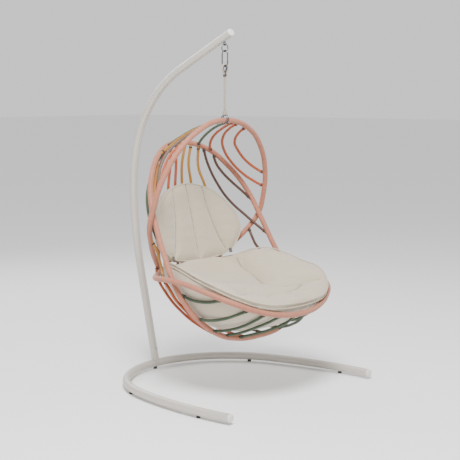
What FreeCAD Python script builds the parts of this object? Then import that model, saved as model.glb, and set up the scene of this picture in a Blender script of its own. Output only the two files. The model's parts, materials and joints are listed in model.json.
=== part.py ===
import FreeCAD, Part
import Sketcher
import math
import os

# A hanging cocoon chair on a C-shaped stand. Millimetres, +Z up, the chair opens towards -Y.
# The origin is on the floor under the middle of the outline. Left is +X, the sitter's left.
# The pieces come in three groups: the stand, the links of the suspension, and the chair.

V = FreeCAD.Vector
doc = FreeCAD.newDocument("hanging_chair")

# ---------------------------------------------------------------- driving dimensions
SIZES = {
    "stand_tube": 48.3,
    "stand_wall": 3.0,
    "glide_height": 13.0,
    "glide_dia": 24.0,
    "glide_screw": 6.0,
    "base_back_y": 501.0,
    "base_back_radius": 615.0,
    "base_back_half_angle": 74.0,
    "base_side_radius": 2070.0,
    "base_side_angle": 21.12,
    "cap_depth": 12.0,
    "mast_foot_y": 495.0,
    "mast_lean": 12.0,
    "mast_lower_run": 646.0,
    "mast_lower_radius": 2400.0,
    "mast_lower_turn": 12.0,
    "mast_middle_radius": 1130.0,
    "mast_middle_turn": 12.0,
    "mast_upper_radius": 745.0,
    "mast_upper_turn": 50.8,
    "mast_upper_run": 459.0,
    "spigot_length": 170.0,
    "mast_bolt": 8.0,
    "bolt_height": 95.0,
    "hang_y": -94.0,
    "eye_height": 2058.0,
    "eye_radius": 9.0,
    "eye_wire": 6.0,
    "ring_radius": 22.0,
    "ring_wire": 6.0,
    "ring_turn": 15.0,
    "link_play": 0.3,
    "carabiner_length": 102.0,
    "carabiner_width": 50.0,
    "carabiner_wire": 8.0,
    "gate_wire": 6.5,
    "gate_pin": 3.0,
    "thimble_radius": 14.0,
    "thimble_width": 12.0,
    "rope_dia": 15.0,
    "rope_strand": 10.0,
    "rope_top": 1872.0,
    "rope_end": 1666.0,
    "hoop_tube": 32.0,
    "hoop_wall": 2.0,
    "sleeve_length": 60.0,
    "rib_dia": 17.0,
    "back_cushion_radius": 1300.0,
    "back_cushion_depth": 45.0,
    "back_cushion_half_width": 376.0,
    "back_cushion_bottom": 742.0,
    "back_cushion_top": 1230.0,
    "back_cushion_lean": 14.0,
}
sheet = doc.addObject("Spreadsheet::Sheet", "Sizes")
for row, (alias, value) in enumerate(SIZES.items(), start=1):
    sheet.set("A%d" % row, alias.replace("_", " "))
    sheet.set("B%d" % row, str(value))
    sheet.setAlias("B%d" % row, alias)
doc.recompute()
nodes = {}


def size(alias):
    """The value of one driving dimension."""
    return float(sheet.get(alias))


def bind(target, **expressions):
    """Tie properties of an object to cells of the sheet."""
    for prop, text in expressions.items():
        target.setExpression(prop, text)
    return target


def node(name, obj):
    """Give a finished sub-part its name and put it on the list of pieces."""
    obj.Label = name
    nodes[name] = obj
    return obj


def feature(name, shape, place=None):
    """A sub-part whose shape is worked out in code."""
    obj = doc.addObject("Part::Feature", "shape_" + name)
    obj.Shape = shape
    if place is not None:
        obj.Placement = place
    return node(name, obj)


def frame_at(point, direction):
    """A placement at point whose own Z axis runs along direction."""
    return FreeCAD.Placement(point, FreeCAD.Rotation(V(0, 0, 1), direction))


def cylinder(name, point, direction, radius, height):
    """A Part cylinder along direction, its radius and height given as expressions."""
    obj = doc.addObject("Part::Cylinder", name)
    bind(obj, Radius=radius, Height=height)
    obj.Placement = frame_at(point, direction)
    return obj


def torus(name, point, axis, major, minor):
    """A Part torus about axis, its two radii given as expressions."""
    obj = doc.addObject("Part::Torus", name)
    bind(obj, Radius1=major, Radius2=minor)
    obj.Placement = frame_at(point, axis)
    return obj


def boolean(kind, name, base, tool):
    """A Part::Cut, Part::Fuse or Part::Common of two objects."""
    obj = doc.addObject("Part::" + kind, name)
    obj.Base = base
    obj.Tool = tool
    return obj


def heading(angle):
    """The unit vector at an angle, in degrees, in a drawing plane."""
    return V(math.cos(math.radians(angle)), math.sin(math.radians(angle)), 0)


# ---------------------------------------------------------------- routes of rods and tubes
def corner_points(through):
    """Corners of the run-and-arc path that passes through the given points."""
    corners = [through[0]]
    for before, here, after in zip(through, through[1:], through[2:]):
        corners.append(here + (here - (before + after) * 0.5) * 0.25)
    corners.append(through[-1])
    return corners


def squared(corners):
    """The same corners with both end runs level and straight across the middle plane."""
    first = V(corners[0].x, corners[1].y, corners[1].z)
    last = V(corners[-1].x, corners[-2].y, corners[-2].z)
    return [first] + corners[1:-1] + [last]


def route(corners, share=0.48):
    """A wire of short runs joined by tangent arcs as large as the runs allow."""
    edges = []
    start = corners[0]
    for before, here, after in zip(corners, corners[1:], corners[2:]):
        towards_start = (before - here).normalize()
        towards_end = (after - here).normalize()
        reach = share * min(here.distanceToPoint(before), here.distanceToPoint(after))
        half_turn = (math.pi - towards_start.getAngle(towards_end)) / 2
        radius = reach / math.tan(half_turn)
        bisector = (towards_start + towards_end).normalize()
        first = here + towards_start * reach
        last = here + towards_end * reach
        middle = here + bisector * (radius / math.cos(half_turn) - radius)
        edges.append(Part.LineSegment(start, first).toShape())
        edges.append(Part.Arc(first, middle, last).toShape())
        start = last
    edges.append(Part.LineSegment(start, corners[-1]).toShape())
    return Part.Wire(edges)


def rod_along(wire, diameter):
    """A solid rod swept along a wire."""
    first = wire.Edges[0]
    section = Part.makeCircle(diameter / 2, wire.Vertexes[0].Point, first.tangentAt(first.FirstParameter))
    return wire.makePipeShell([Part.Wire(section)], True, False)


def on_chair(points, side=1):
    """Chair points, given from the hanging line for the left half, put in place for one side."""
    return [V(side * x, y + size("hang_y"), z) for x, y, z in points]


# ---------------------------------------------------------------- stand: base tube
TUBE_RADIUS = size("stand_tube") / 2
AXIS_HEIGHT = size("glide_height") + TUBE_RADIUS
UPRIGHT_PLANE = FreeCAD.Rotation(V(0, 1, 0), V(0, 0, 1), V(1, 0, 0), "ZXY")


def pin(sketch, name, constraint, expression):
    """Add a named constraint to a sketch and tie it to the sheet."""
    index = sketch.addConstraint(constraint)
    sketch.renameConstraint(index, name)
    sketch.setExpression("Constraints." + name, expression)


def swept_tube(name, spine, start, direction):
    """The stand's tube along a sketch: an outer sweep less its bore."""
    solids = []
    for part, radius in (("outside", "Sizes.stand_tube / 2"), ("bore", "Sizes.stand_tube / 2 - Sizes.stand_wall")):
        ring = doc.addObject("Part::Circle", "%s_%s_section" % (name, part))
        bind(ring, Radius=radius)
        ring.Placement = frame_at(start, direction)
        sweep = doc.addObject("Part::Sweep", "%s_%s" % (name, part))
        sweep.Sections = [ring]
        sweep.Spine = (spine, ["Edge%d" % (edge + 1) for edge in range(spine.GeometryCount)])
        sweep.Solid = True
        solids.append(sweep)
    return boolean("Cut", name, *solids)


def arc(centre, radius, first, last):
    """An arc of a circle in a sketch, counter-clockwise between two angles in degrees."""
    return Part.ArcOfCircle(Part.Circle(centre, V(0, 0, 1), radius), math.radians(first), math.radians(last))


back_radius = size("base_back_radius")
side_radius = size("base_side_radius")
back_centre = V(0, size("base_back_y") - back_radius, 0)
left_joint = 90 - size("base_back_half_angle")
right_joint = 90 + size("base_back_half_angle")
left_centre = back_centre + heading(left_joint) * (back_radius - side_radius)
right_centre = back_centre + heading(right_joint) * (back_radius - side_radius)
left_end = left_joint - size("base_side_angle")
right_end = right_joint + size("base_side_angle")

base_spine = doc.addObject("Sketcher::SketchObject", "base_spine")
base_spine.addGeometry(arc(left_centre, side_radius, left_end, left_joint))
base_spine.addGeometry(arc(back_centre, back_radius, left_joint, right_joint))
base_spine.addGeometry(arc(right_centre, side_radius, right_joint, right_end))
base_spine.addConstraint(Sketcher.Constraint("Tangent", 0, 2, 1, 1))
base_spine.addConstraint(Sketcher.Constraint("Tangent", 1, 2, 2, 1))
base_spine.addConstraint(Sketcher.Constraint("PointOnObject", 1, 3, -2))
pin(base_spine, "back_radius", Sketcher.Constraint("Radius", 1, back_radius), "Sizes.base_back_radius")
pin(base_spine, "left_radius", Sketcher.Constraint("Radius", 0, side_radius), "Sizes.base_side_radius")
pin(base_spine, "right_radius", Sketcher.Constraint("Radius", 2, side_radius), "Sizes.base_side_radius")
pin(base_spine, "back_place", Sketcher.Constraint("DistanceY", 1, 3, -1, 1, -back_centre.y),
    "Sizes.base_back_radius - Sizes.base_back_y")
for index, alias in ((0, "base_side_angle"), (2, "base_side_angle")):
    pin(base_spine, "side_span_%d" % index, Sketcher.Constraint("Angle", index, math.radians(size(alias))),
        "Sizes.%s * 1 deg" % alias)
pin(base_spine, "back_span", Sketcher.Constraint("Angle", 1, math.radians(2 * size("base_back_half_angle"))),
    "Sizes.base_back_half_angle * 2 deg")
base_spine.Placement = FreeCAD.Placement(V(0, 0, AXIS_HEIGHT), FreeCAD.Rotation())
doc.recompute()

left_front = V(base_spine.Shape.Vertexes[0].Point)
front_direction = base_spine.Shape.Edges[0].tangentAt(base_spine.Shape.Edges[0].FirstParameter)
node("base_tube", swept_tube("base_sweep", base_spine, left_front, front_direction))


def end_cap(name, point, outward):
    """A domed cap with a plug that pushes into the end of the stand's tube."""
    cap = doc.addObject("PartDesign::Body", "body_" + name)
    profile = cap.newObject("Sketcher::SketchObject", name + "_profile")
    plane = [item for item in cap.Origin.OriginFeatures if item.Role == "XZ_Plane"][0]
    profile.AttachmentSupport = [(plane, "")]
    profile.MapMode = "FlatFace"
    flange = TUBE_RADIUS
    plug = TUBE_RADIUS - size("stand_wall") - 0.2
    depth = size("cap_depth")
    flat = depth / 3
    crown = flange * 0.55
    edge = Part.Arc(V(flange, flat, 0), V(flange * 0.87, depth * 0.8, 0), V(crown, depth, 0))
    corners = [V(0, depth, 0), V(0, -depth, 0), V(plug, -depth, 0), V(plug, 0, 0), V(flange, 0, 0), V(flange, flat, 0)]
    for start, end in zip(corners, corners[1:]):
        profile.addGeometry(Part.LineSegment(start, end))
    profile.addGeometry(Part.LineSegment(V(0, depth, 0), V(crown, depth, 0)))
    profile.addGeometry(edge)
    for index in range(4):
        profile.addConstraint(Sketcher.Constraint("Coincident", index, 2, index + 1, 1))
    profile.addConstraint(Sketcher.Constraint("Coincident", 5, 1, 0, 1))
    profile.addConstraint(Sketcher.Constraint("Coincident", 6, 1, 4, 2))
    profile.addConstraint(Sketcher.Constraint("Coincident", 6, 2, 5, 2))
    profile.addConstraint(Sketcher.Constraint("Radius", 6, edge.toShape().Curve.Radius))
    profile.addConstraint(Sketcher.Constraint("Horizontal", 5))
    profile.addConstraint(Sketcher.Constraint("Vertical", 0))
    profile.addConstraint(Sketcher.Constraint("PointOnObject", 0, 1, -2))
    for index in (1, 3):
        profile.addConstraint(Sketcher.Constraint("Horizontal", index))
    for index in (2, 4):
        profile.addConstraint(Sketcher.Constraint("Vertical", index))
    pin(profile, "dome_height", Sketcher.Constraint("DistanceY", -1, 1, 0, 1, depth), "Sizes.cap_depth")
    pin(profile, "plug_depth", Sketcher.Constraint("DistanceY", 1, 1, -1, 1, depth), "Sizes.cap_depth")
    pin(profile, "plug_radius", Sketcher.Constraint("DistanceX", -1, 1, 2, 1, plug),
        "Sizes.stand_tube / 2 - Sizes.stand_wall - 0.2")
    profile.addConstraint(Sketcher.Constraint("PointOnObject", 3, 1, -1))
    pin(profile, "flange_radius", Sketcher.Constraint("DistanceX", -1, 1, 4, 1, flange), "Sizes.stand_tube / 2")
    pin(profile, "flange_depth", Sketcher.Constraint("DistanceY", -1, 1, 4, 2, flat), "Sizes.cap_depth / 3")
    pin(profile, "crown_radius", Sketcher.Constraint("DistanceX", -1, 1, 5, 2, crown), "Sizes.stand_tube * 0.275")
    turned = cap.newObject("PartDesign::Revolution", name + "_turned")
    turned.Profile = profile
    turned.ReferenceAxis = (profile, ["V_Axis"])
    turned.Angle = 360
    cap.Placement = frame_at(point, outward)
    return node(name, cap)


end_cap("base_cap_left", left_front, -front_direction)
end_cap("base_cap_right", V(-left_front.x, left_front.y, left_front.z), V(front_direction.x, -front_direction.y, 0))

# Five glides carry the base: one at the back, one on each rear quarter and one on each side.
side_turn = 15.0
glide_places = [(back_centre + heading(90) * back_radius, 0.0)]
for sign in (1, -1):
    rear_angle = 90 - sign * 63.0
    glide_places.append((back_centre + heading(rear_angle) * back_radius, rear_angle - 90))
    centre = left_centre if sign > 0 else right_centre
    side_heading = left_joint - side_turn if sign > 0 else right_joint + side_turn
    glide_places.append((centre + heading(side_heading) * side_radius, side_heading - 90))

glide_disc = cylinder("glide_disc", V(0, 0, 0), V(0, 0, 1), "Sizes.glide_dia / 2", "Sizes.glide_height + 3")
glide_saddle = cylinder("glide_saddle", V(-50, 0, AXIS_HEIGHT), V(1, 0, 0), "Sizes.stand_tube / 2 + 0.2", "100 mm")
glide_top = boolean("Cut", "glide_top", glide_disc, glide_saddle)
glide_hole = cylinder("glide_hole", V(0, 0, 0), V(0, 0, 1), "Sizes.glide_screw / 2 + 0.1", "60 mm")
glide_recess = cylinder("glide_recess", V(0, 0, 0), V(0, 0, 1), "Sizes.glide_screw", "6.5 mm")
glide_bored = boolean("Cut", "glide_bored", glide_top, glide_hole)
glide = boolean("Cut", "glide", glide_bored, glide_recess)
screw_shank = cylinder("screw_shank", V(0, 0, 3), V(0, 0, 1), "Sizes.glide_screw / 2", "20 mm")
screw_head = cylinder("screw_head", V(0, 0, 2.5), V(0, 0, 1), "Sizes.glide_screw - 0.5", "4 mm")
screw = boolean("Fuse", "screw", screw_shank, screw_head)
doc.recompute()


def spread(shape, places):
    """Copies of a shape on the floor plan, each turned to follow the base."""
    copies = []
    for point, turn in places:
        copy = shape.copy()
        copy.Placement = FreeCAD.Placement(V(point.x, point.y, 0), FreeCAD.Rotation(V(0, 0, 1), turn))
        copies.append(copy)
    return Part.makeCompound(copies)


feature("floor_glides", spread(glide.Shape, glide_places))
feature("glide_screws", spread(screw.Shape, glide_places))

# ---------------------------------------------------------------- stand: mast
mast_foot = V(size("mast_foot_y"), AXIS_HEIGHT, 0)
mast_heading = 90 - size("mast_lean")
mast_spine = doc.addObject("Sketcher::SketchObject", "mast_spine")
knee = mast_foot + heading(mast_heading) * size("mast_lower_run")
mast_spine.addGeometry(Part.LineSegment(mast_foot, knee))
pin(mast_spine, "lower_run", Sketcher.Constraint("Distance", 0, size("mast_lower_run")), "Sizes.mast_lower_run")
pin(mast_spine, "lean", Sketcher.Constraint("Angle", 0, math.radians(mast_heading)), "90 deg - Sizes.mast_lean * 1 deg")
pin(mast_spine, "foot_y", Sketcher.Constraint("DistanceX", -1, 1, 0, 1, mast_foot.x), "Sizes.mast_foot_y")
pin(mast_spine, "foot_z", Sketcher.Constraint("DistanceY", -1, 1, 0, 1, mast_foot.y),
    "Sizes.glide_height + Sizes.stand_tube / 2")
for index, bend in enumerate(("lower", "middle", "upper"), start=1):
    radius = size("mast_%s_radius" % bend)
    turn = size("mast_%s_turn" % bend)
    centre = knee + heading(mast_heading + 90) * radius
    mast_spine.addGeometry(arc(centre, radius, mast_heading - 90, mast_heading - 90 + turn))
    mast_spine.addConstraint(Sketcher.Constraint("Tangent", index - 1, 2, index, 1))
    pin(mast_spine, bend + "_radius", Sketcher.Constraint("Radius", index, radius), "Sizes.mast_%s_radius" % bend)
    pin(mast_spine, bend + "_turn", Sketcher.Constraint("Angle", index, math.radians(turn)),
        "Sizes.mast_%s_turn * 1 deg" % bend)
    mast_heading += turn
    knee = centre + heading(mast_heading - 90) * radius
mast_tip = knee + heading(mast_heading) * size("mast_upper_run")
mast_spine.addGeometry(Part.LineSegment(knee, mast_tip))
mast_spine.addConstraint(Sketcher.Constraint("Tangent", 3, 2, 4, 1))
pin(mast_spine, "upper_run", Sketcher.Constraint("Distance", 4, size("mast_upper_run")), "Sizes.mast_upper_run")
mast_spine.Placement = FreeCAD.Placement(V(0, 0, 0), UPRIGHT_PLANE)
doc.recompute()

foot_point = V(0, mast_foot.x, mast_foot.y)
foot_direction = UPRIGHT_PLANE.multVec(heading(90 - size("mast_lean")))
tip_point = V(0, mast_tip.x, mast_tip.y)
tip_direction = UPRIGHT_PLANE.multVec(heading(mast_heading))
mast_blank = swept_tube("mast_sweep", mast_spine, foot_point, foot_direction)
cope = cylinder("cope", V(-60, size("base_back_y"), AXIS_HEIGHT), V(1, 0, 0), "Sizes.stand_tube / 2 + 0.6", "120 mm")
bolt_height = size("bolt_height")
bolt_point = foot_point + foot_direction * bolt_height
bolt_direction = V(0, -foot_direction.z, foot_direction.y)
bolt_hole = cylinder("bolt_hole", bolt_point - bolt_direction * 60, bolt_direction, "Sizes.mast_bolt / 2 + 0.1", "120 mm")
mast_coped = boolean("Cut", "mast_coped", mast_blank, cope)
node("mast_tube", boolean("Cut", "mast_bored", mast_coped, bolt_hole))
end_cap("mast_cap", tip_point, tip_direction)

# A spigot welded on the base holds the mast, and one bolt through both locks it.
spigot_outside = cylinder("spigot_outside", foot_point, foot_direction,
                          "Sizes.stand_tube / 2 - Sizes.stand_wall - 0.1", "Sizes.spigot_length")
spigot_bore = cylinder("spigot_bore", foot_point, foot_direction,
                       "Sizes.stand_tube / 2 - 2 * Sizes.stand_wall", "Sizes.spigot_length")
spigot_tube = boolean("Cut", "spigot_tube", spigot_outside, spigot_bore)
spigot_coped = boolean("Cut", "spigot_coped", spigot_tube, cope)
node("mast_spigot", boolean("Cut", "spigot_bored", spigot_coped, bolt_hole))
bolt_head_place = bolt_point - bolt_direction * (TUBE_RADIUS + 5.0)
bolt_shank = cylinder("bolt_shank", bolt_head_place, bolt_direction, "Sizes.mast_bolt / 2", "Sizes.stand_tube + 12")
bolt_head = cylinder("bolt_head", bolt_head_place, bolt_direction, "Sizes.mast_bolt * 0.85", "4.6 mm")
node("mast_bolt", boolean("Fuse", "bolt_and_head", bolt_shank, bolt_head))
nut_place = bolt_point + bolt_direction * (TUBE_RADIUS + 0.4)
nut = doc.addObject("Part::Prism", "nut_blank")
bind(nut, Circumradius="Sizes.mast_bolt * 0.92", Height="5.5 mm")
nut.Polygon = 6
nut.Placement = frame_at(nut_place, bolt_direction)
nut_hole = cylinder("nut_hole", nut_place - bolt_direction, bolt_direction, "Sizes.mast_bolt / 2 + 0.05", "12 mm")
node("mast_nut", boolean("Cut", "nut_bored", nut, nut_hole))

# ---------------------------------------------------------------- suspension
HANG = V(0, size("hang_y"), 0)


def at_height(height):
    """The point of the hanging line at a height."""
    return V(0, HANG.y, height)


# Each link rests on the one above it, a little play apart.
eye_bottom = size("eye_height") - size("eye_radius")
ring_top = eye_bottom + (size("eye_wire") + size("ring_wire")) / 2 + size("link_play")
ring_bottom = ring_top - 2 * size("ring_radius")
carabiner_top = ring_bottom + (size("ring_wire") + size("carabiner_wire")) / 2 + size("link_play")
carabiner_bottom = carabiner_top + size("carabiner_wire") - size("carabiner_length")

eye_loop = torus("eye_loop", at_height(size("eye_height")), V(1, 0, 0), "Sizes.eye_radius", "Sizes.eye_wire / 2")
eye_shank = cylinder("eye_shank", at_height(size("eye_height") + size("eye_radius")), V(0, 0, 1),
                     "Sizes.eye_wire * 0.7", "16 mm")
node("hanger_eye", boolean("Fuse", "eye_and_shank", eye_loop, eye_shank))

ring_axis = V(math.sin(math.radians(size("ring_turn"))), math.cos(math.radians(size("ring_turn"))), 0)
node("suspension_ring", torus("ring", at_height((ring_top + ring_bottom) / 2), ring_axis,
                              "Sizes.ring_radius", "Sizes.ring_wire / 2"))

# The carabiner is an open link. Its gate closes the front side and turns on a pin in a fork.
bend = (size("carabiner_width") - size("carabiner_wire")) / 2
bend_top = carabiner_top - bend
bend_bottom = carabiner_bottom + bend
gate_pivot = bend_bottom + 6.0
fork_top = gate_pivot + 5.0
nose = bend_top - 4.5
carabiner_path = Part.Wire([
    Part.LineSegment(V(0, HANG.y - bend, nose), V(0, HANG.y - bend, bend_top)).toShape(),
    Part.Arc(V(0, HANG.y - bend, bend_top), at_height(carabiner_top), V(0, HANG.y + bend, bend_top)).toShape(),
    Part.LineSegment(V(0, HANG.y + bend, bend_top), V(0, HANG.y + bend, bend_bottom)).toShape(),
    Part.Arc(V(0, HANG.y + bend, bend_bottom), at_height(carabiner_bottom), V(0, HANG.y - bend, bend_bottom)).toShape(),
    Part.LineSegment(V(0, HANG.y - bend, bend_bottom), V(0, HANG.y - bend, fork_top)).toShape(),
])
fork_gap = size("carabiner_wire") * 0.4
pivot_point = V(0, HANG.y - bend, gate_pivot)
slot = Part.makeBox(fork_gap, 12, 12, pivot_point - V(fork_gap / 2, 6, 4.2))
pin_hole = Part.makeCylinder(size("gate_pin") / 2, 12, pivot_point - V(6, 0, 0), V(1, 0, 0))
carabiner = rod_along(carabiner_path, size("carabiner_wire")).cut(slot).cut(pin_hole)
feature("carabiner_body", carabiner)
gate_pin_length = size("carabiner_wire") - 0.8
feature("gate_pin", Part.makeCylinder(size("gate_pin") / 2, gate_pin_length,
                                      pivot_point - V(gate_pin_length / 2, 0, 0), V(1, 0, 0)))
tongue = fork_gap - 0.4
tongue_end = Part.makeCylinder(size("gate_wire") / 2, tongue, pivot_point - V(tongue / 2, 0, 0), V(1, 0, 0))
tongue_bar = Part.makeBox(tongue, size("gate_wire"), 8.5, pivot_point - V(tongue / 2, size("gate_wire") / 2, 0))
gate_rod = Part.makeCylinder(size("gate_wire") / 2, nose - 0.4 - gate_pivot - 7.5, pivot_point + V(0, 0, 7.5))
running_hole = Part.makeCylinder(size("gate_pin") / 2 + 0.05, 12, pivot_point - V(6, 0, 0), V(1, 0, 0))
feature("carabiner_gate", tongue_end.fuse([tongue_bar, gate_rod]).removeSplitter().cut(running_hole))

# The rope's eye goes round a thimble, and its two sides close into the rope below.
thimble_rise = size("thimble_width") ** 2 / (4 * size("carabiner_width") - 8 * size("carabiner_wire"))
thimble_inside = carabiner_bottom + size("carabiner_wire") / 2 + size("link_play") + thimble_rise
thimble_centre = thimble_inside - size("thimble_radius")


def teardrop(radius, tip_height, gap=0.0):
    """Round above, running down to a narrow tip; gap parts the two legs at the bottom."""
    centre = at_height(thimble_centre)
    lean = math.asin((radius - gap) / (thimble_centre - tip_height))
    side = V(radius * math.cos(lean), 0, -radius * math.sin(lean))
    other = V(-side.x, 0, side.z)
    return Part.Wire([
        Part.LineSegment(at_height(tip_height) + V(gap, 0, 0), centre + side).toShape(),
        Part.Arc(centre + side, centre + V(0, 0, radius), centre + other).toShape(),
        Part.LineSegment(centre + other, at_height(tip_height) - V(gap, 0, 0)).toShape(),
    ])


thimble_wall = 2.0
thimble_tip = size("rope_top") + 8.0
thimble_width = size("thimble_width")
thimble_outside = Part.Face(teardrop(size("thimble_radius") + thimble_wall, thimble_tip - 2.5 * thimble_wall))
thimble_inner = Part.Face(teardrop(size("thimble_radius"), thimble_tip))
thimble = thimble_outside.cut(thimble_inner).extrude(V(0, thimble_width, 0))
feature("rope_thimble", thimble.Solids[0], FreeCAD.Placement(V(0, -thimble_width / 2, 0), FreeCAD.Rotation()))

strand_radius = size("rope_strand") / 2
eye_path = teardrop(size("thimble_radius") + thimble_wall + strand_radius + 0.2, size("rope_top"), strand_radius + 0.3)
feature("rope_eye", rod_along(eye_path, size("rope_strand")))
node("rope", cylinder("rope_run", at_height(size("rope_end")), V(0, 0, 1),
                      "Sizes.rope_dia / 2", "Sizes.rope_top - Sizes.rope_end"))
whipping_height = 18.0
node("rope_whipping", cylinder("whipping", at_height(size("rope_top") - whipping_height / 2), V(0, 0, 1),
                               "Sizes.rope_strand + 1.2", "%g mm" % whipping_height))

# ---------------------------------------------------------------- chair: hoops
# Points on the left half of each hoop, from the hanging line, in order from its top or front.
FRONT_HOOP = [
    (0, -1, 1606), (75, -1, 1603), (225, 1, 1554), (365, 26, 1447), (465, 65, 1283), (501, 110, 1115),
    (499, 145, 1005), (443, 192, 905), (330, 268, 781), (215, 323, 690), (95, 346, 640), (0, 346, 636),
]
REAR_HOOP = [
    (0, 370, 1465), (75, 364, 1461), (220, 326, 1414), (345, 270, 1307), (440, 192, 1152), (476, 110, 985),
    (496, 22, 815), (508, -58, 683), (494, -122, 580), (432, -182, 475), (325, -238, 388), (200, -260, 351),
    (75, -266, 337), (0, -266, 337),
]
SEAT_RIM = [
    (0, -585, 511), (75, -580, 511), (200, -560, 527), (330, -517, 560), (437, -449, 607), (505, -310, 660),
    (537, -150, 702), (544, -30, 711), (517, 75, 706), (440, 157, 700), (320, 237, 697), (195, 284, 693),
    (75, 303, 690), (0, 303, 690),
]
HOOPS = {"front_hoop": FRONT_HOOP, "rear_hoop": REAR_HOOP, "seat_rim": SEAT_RIM}
SIDES = {"left": 1, "right": -1}


def tube_along(wire, diameter, wall):
    """A tube swept along a wire, open at both ends."""
    return rod_along(wire, diameter).cut(rod_along(wire, diameter - 2 * wall))


sleeve_radius = size("hoop_tube") / 2 - size("hoop_wall") - 0.1
sleeve_start = V(size("sleeve_length") / 2, 0, 0)
sleeves = []
for hoop, points in HOOPS.items():
    for side, sign in SIDES.items():
        corners = squared(corner_points(on_chair(points, sign)))
        feature("%s_%s" % (hoop, side), tube_along(route(corners), size("hoop_tube"), size("hoop_wall")))
    for end in (corners[0], corners[-1]):
        sleeve = Part.makeCylinder(sleeve_radius, size("sleeve_length"), end - sleeve_start, V(1, 0, 0))
        bore = Part.makeCylinder(sleeve_radius - size("hoop_wall"), size("sleeve_length"), end - sleeve_start, V(1, 0, 0))
        sleeves.append(sleeve.cut(bore))
feature("hoop_sleeves", Part.makeCompound(sleeves))

# Two steel rings hold the front hoop, close together, and the rope's knot grips their tops.
front_top = squared(corner_points(on_chair(FRONT_HOOP)))[0]
hoop_ring_radius = 24.0
hoop_ring_wire = 6.0
hoop_ring_centre = front_top.z - size("hoop_tube") / 2 + hoop_ring_radius - hoop_ring_wire / 2
hoop_rings = []
for offset in (-7.5, 7.5):
    centre = V(offset, front_top.y, hoop_ring_centre)
    hoop_rings.append(Part.makeTorus(hoop_ring_radius, hoop_ring_wire / 2, centre, V(1, 0, 0)))
feature("hoop_rings", Part.makeCompound(hoop_rings))
knot_top = size("rope_end") - 0.4
knot_bottom = hoop_ring_centre + hoop_ring_radius - hoop_ring_wire
knot_height = knot_top - knot_bottom
knot = doc.addObject("Part::Cylinder", "knot_core")
bind(knot, Radius="Sizes.rope_dia * 0.9")
knot.Height = knot_height
knot.Placement = FreeCAD.Placement(V(0, front_top.y, knot_bottom), FreeCAD.Rotation())
doc.recompute()
knot_round = doc.addObject("Part::Fillet", "knot_round")
knot_round.Base = knot
knot_round.Edges = [(1, 6.0, 6.0), (3, 6.0, 6.0)]
node("rope_knot", knot_round)
doc.recompute()

# One screw at each place where two hoops cross joins them.
CROSSINGS = [((499, 128, 1050), (463, 142, 1050)), ((543, -43, 711), (505, -43, 711))]
crossing_screw = 6.0
screws = []
for sign in SIDES.values():
    for ends in CROSSINGS:
        outer, inner = on_chair(ends, sign)
        along = (inner - outer).normalize()
        length = outer.distanceToPoint(inner) + 30
        screws.append(Part.makeCylinder(crossing_screw / 2, length, outer - along * 15, along))
feature("crossing_screws", Part.makeCompound(screws))

# ---------------------------------------------------------------- chair: ribs
# Each rib is a wound rod that bows out of the chair between two hoops. Points as for the hoops.
CROWN_RIBS = {
    "crown_rib_short": [(199, 6, 1560), (213, 75, 1522), (240, 127, 1470), (306, 156, 1412), (370, 145, 1345),
                        (430, 110, 1292), (466, 76, 1264)],
    "crown_rib_middle": [(126, 6, 1586), (140, 80, 1556), (182, 173, 1496), (248, 227, 1425), (318, 225, 1339),
                         (385, 177, 1257), (440, 133, 1210), (487, 97, 1178)],
    "crown_rib_long": [(86, 6, 1594), (115, 113, 1558), (150, 228, 1497), (190, 288, 1440), (231, 314, 1405)],
    "crown_rib_rear": [(44, 6, 1598), (80, 150, 1560), (112, 275, 1495), (136, 338, 1449)],
}
WAIST_RIBS = {
    "waist_rib": [(250, 313, 1391), (266, 307, 1332), (303, 286, 1270), (352, 250, 1208), (402, 208, 1150),
                  (457, 163, 1085)],
    "shoulder_rib": [(178, 332, 1422), (245, 352, 1315), (318, 337, 1190), (368, 290, 1092), (430, 190, 985),
                     (490, 50, 866)],
    "back_rib_inner": [(42, 361, 1454), (27, 376, 1330), (31, 381, 1200), (34, 380, 1040), (36, 370, 850),
                       (42, 346, 652)],
    "back_rib_middle": [(90, 358, 1448), (82, 371, 1335), (103, 370, 1210), (117, 365, 1050), (120, 356, 860),
                        (118, 339, 655)],
    "back_rib_outer": [(144, 345, 1436), (180, 376, 1300), (217, 358, 1190), (246, 334, 1050), (256, 317, 880),
                       (246, 308, 722)],
}
SIDE_RIBS = {
    "side_rib_upper": [(443, 180, 906), (438, 146, 850), (448, 116, 795), (482, 62, 745), (530, 12, 720)],
    "side_rib_lower": [(533, -2, 700), (520, -34, 650), (500, -60, 594), (468, -92, 543), (432, -130, 486),
                       (410, -185, 450)],
}
KEEL_RIBS = [
    [(288, 291, 740), (300, 283, 685), (290, 225, 583), (262, 110, 466), (235, -20, 390), (215, -150, 352),
     (205, -250, 352)],
    [(100, 342, 634), (106, 297, 552), (103, 200, 461), (95, 60, 390), (88, -80, 352), (83, -180, 339),
     (80, -258, 337)],
]
BOWL_RIBS = [
    [(494, -98, 628), (489, -160, 607), (483, -231, 600), (476, -307, 606), (469, -384, 627)],
    [(444, -178, 490), (429, -250, 488), (408, -335, 503), (386, -425, 537), (368, -492, 567)],
    [(372, -226, 416), (350, -294, 423), (320, -385, 450), (288, -478, 498), (267, -536, 538)],
    [(291, -248, 379), (258, -332, 400), (218, -425, 440), (180, -512, 485), (158, -562, 518)],
    [(190, -264, 353), (152, -340, 376), (107, -430, 408), (66, -525, 458), (42, -575, 508)],
]


def rib(points, sign):
    """One rib on one side of the chair."""
    return rod_along(route(corner_points(on_chair(points, sign))), size("rib_dia"))


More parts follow.
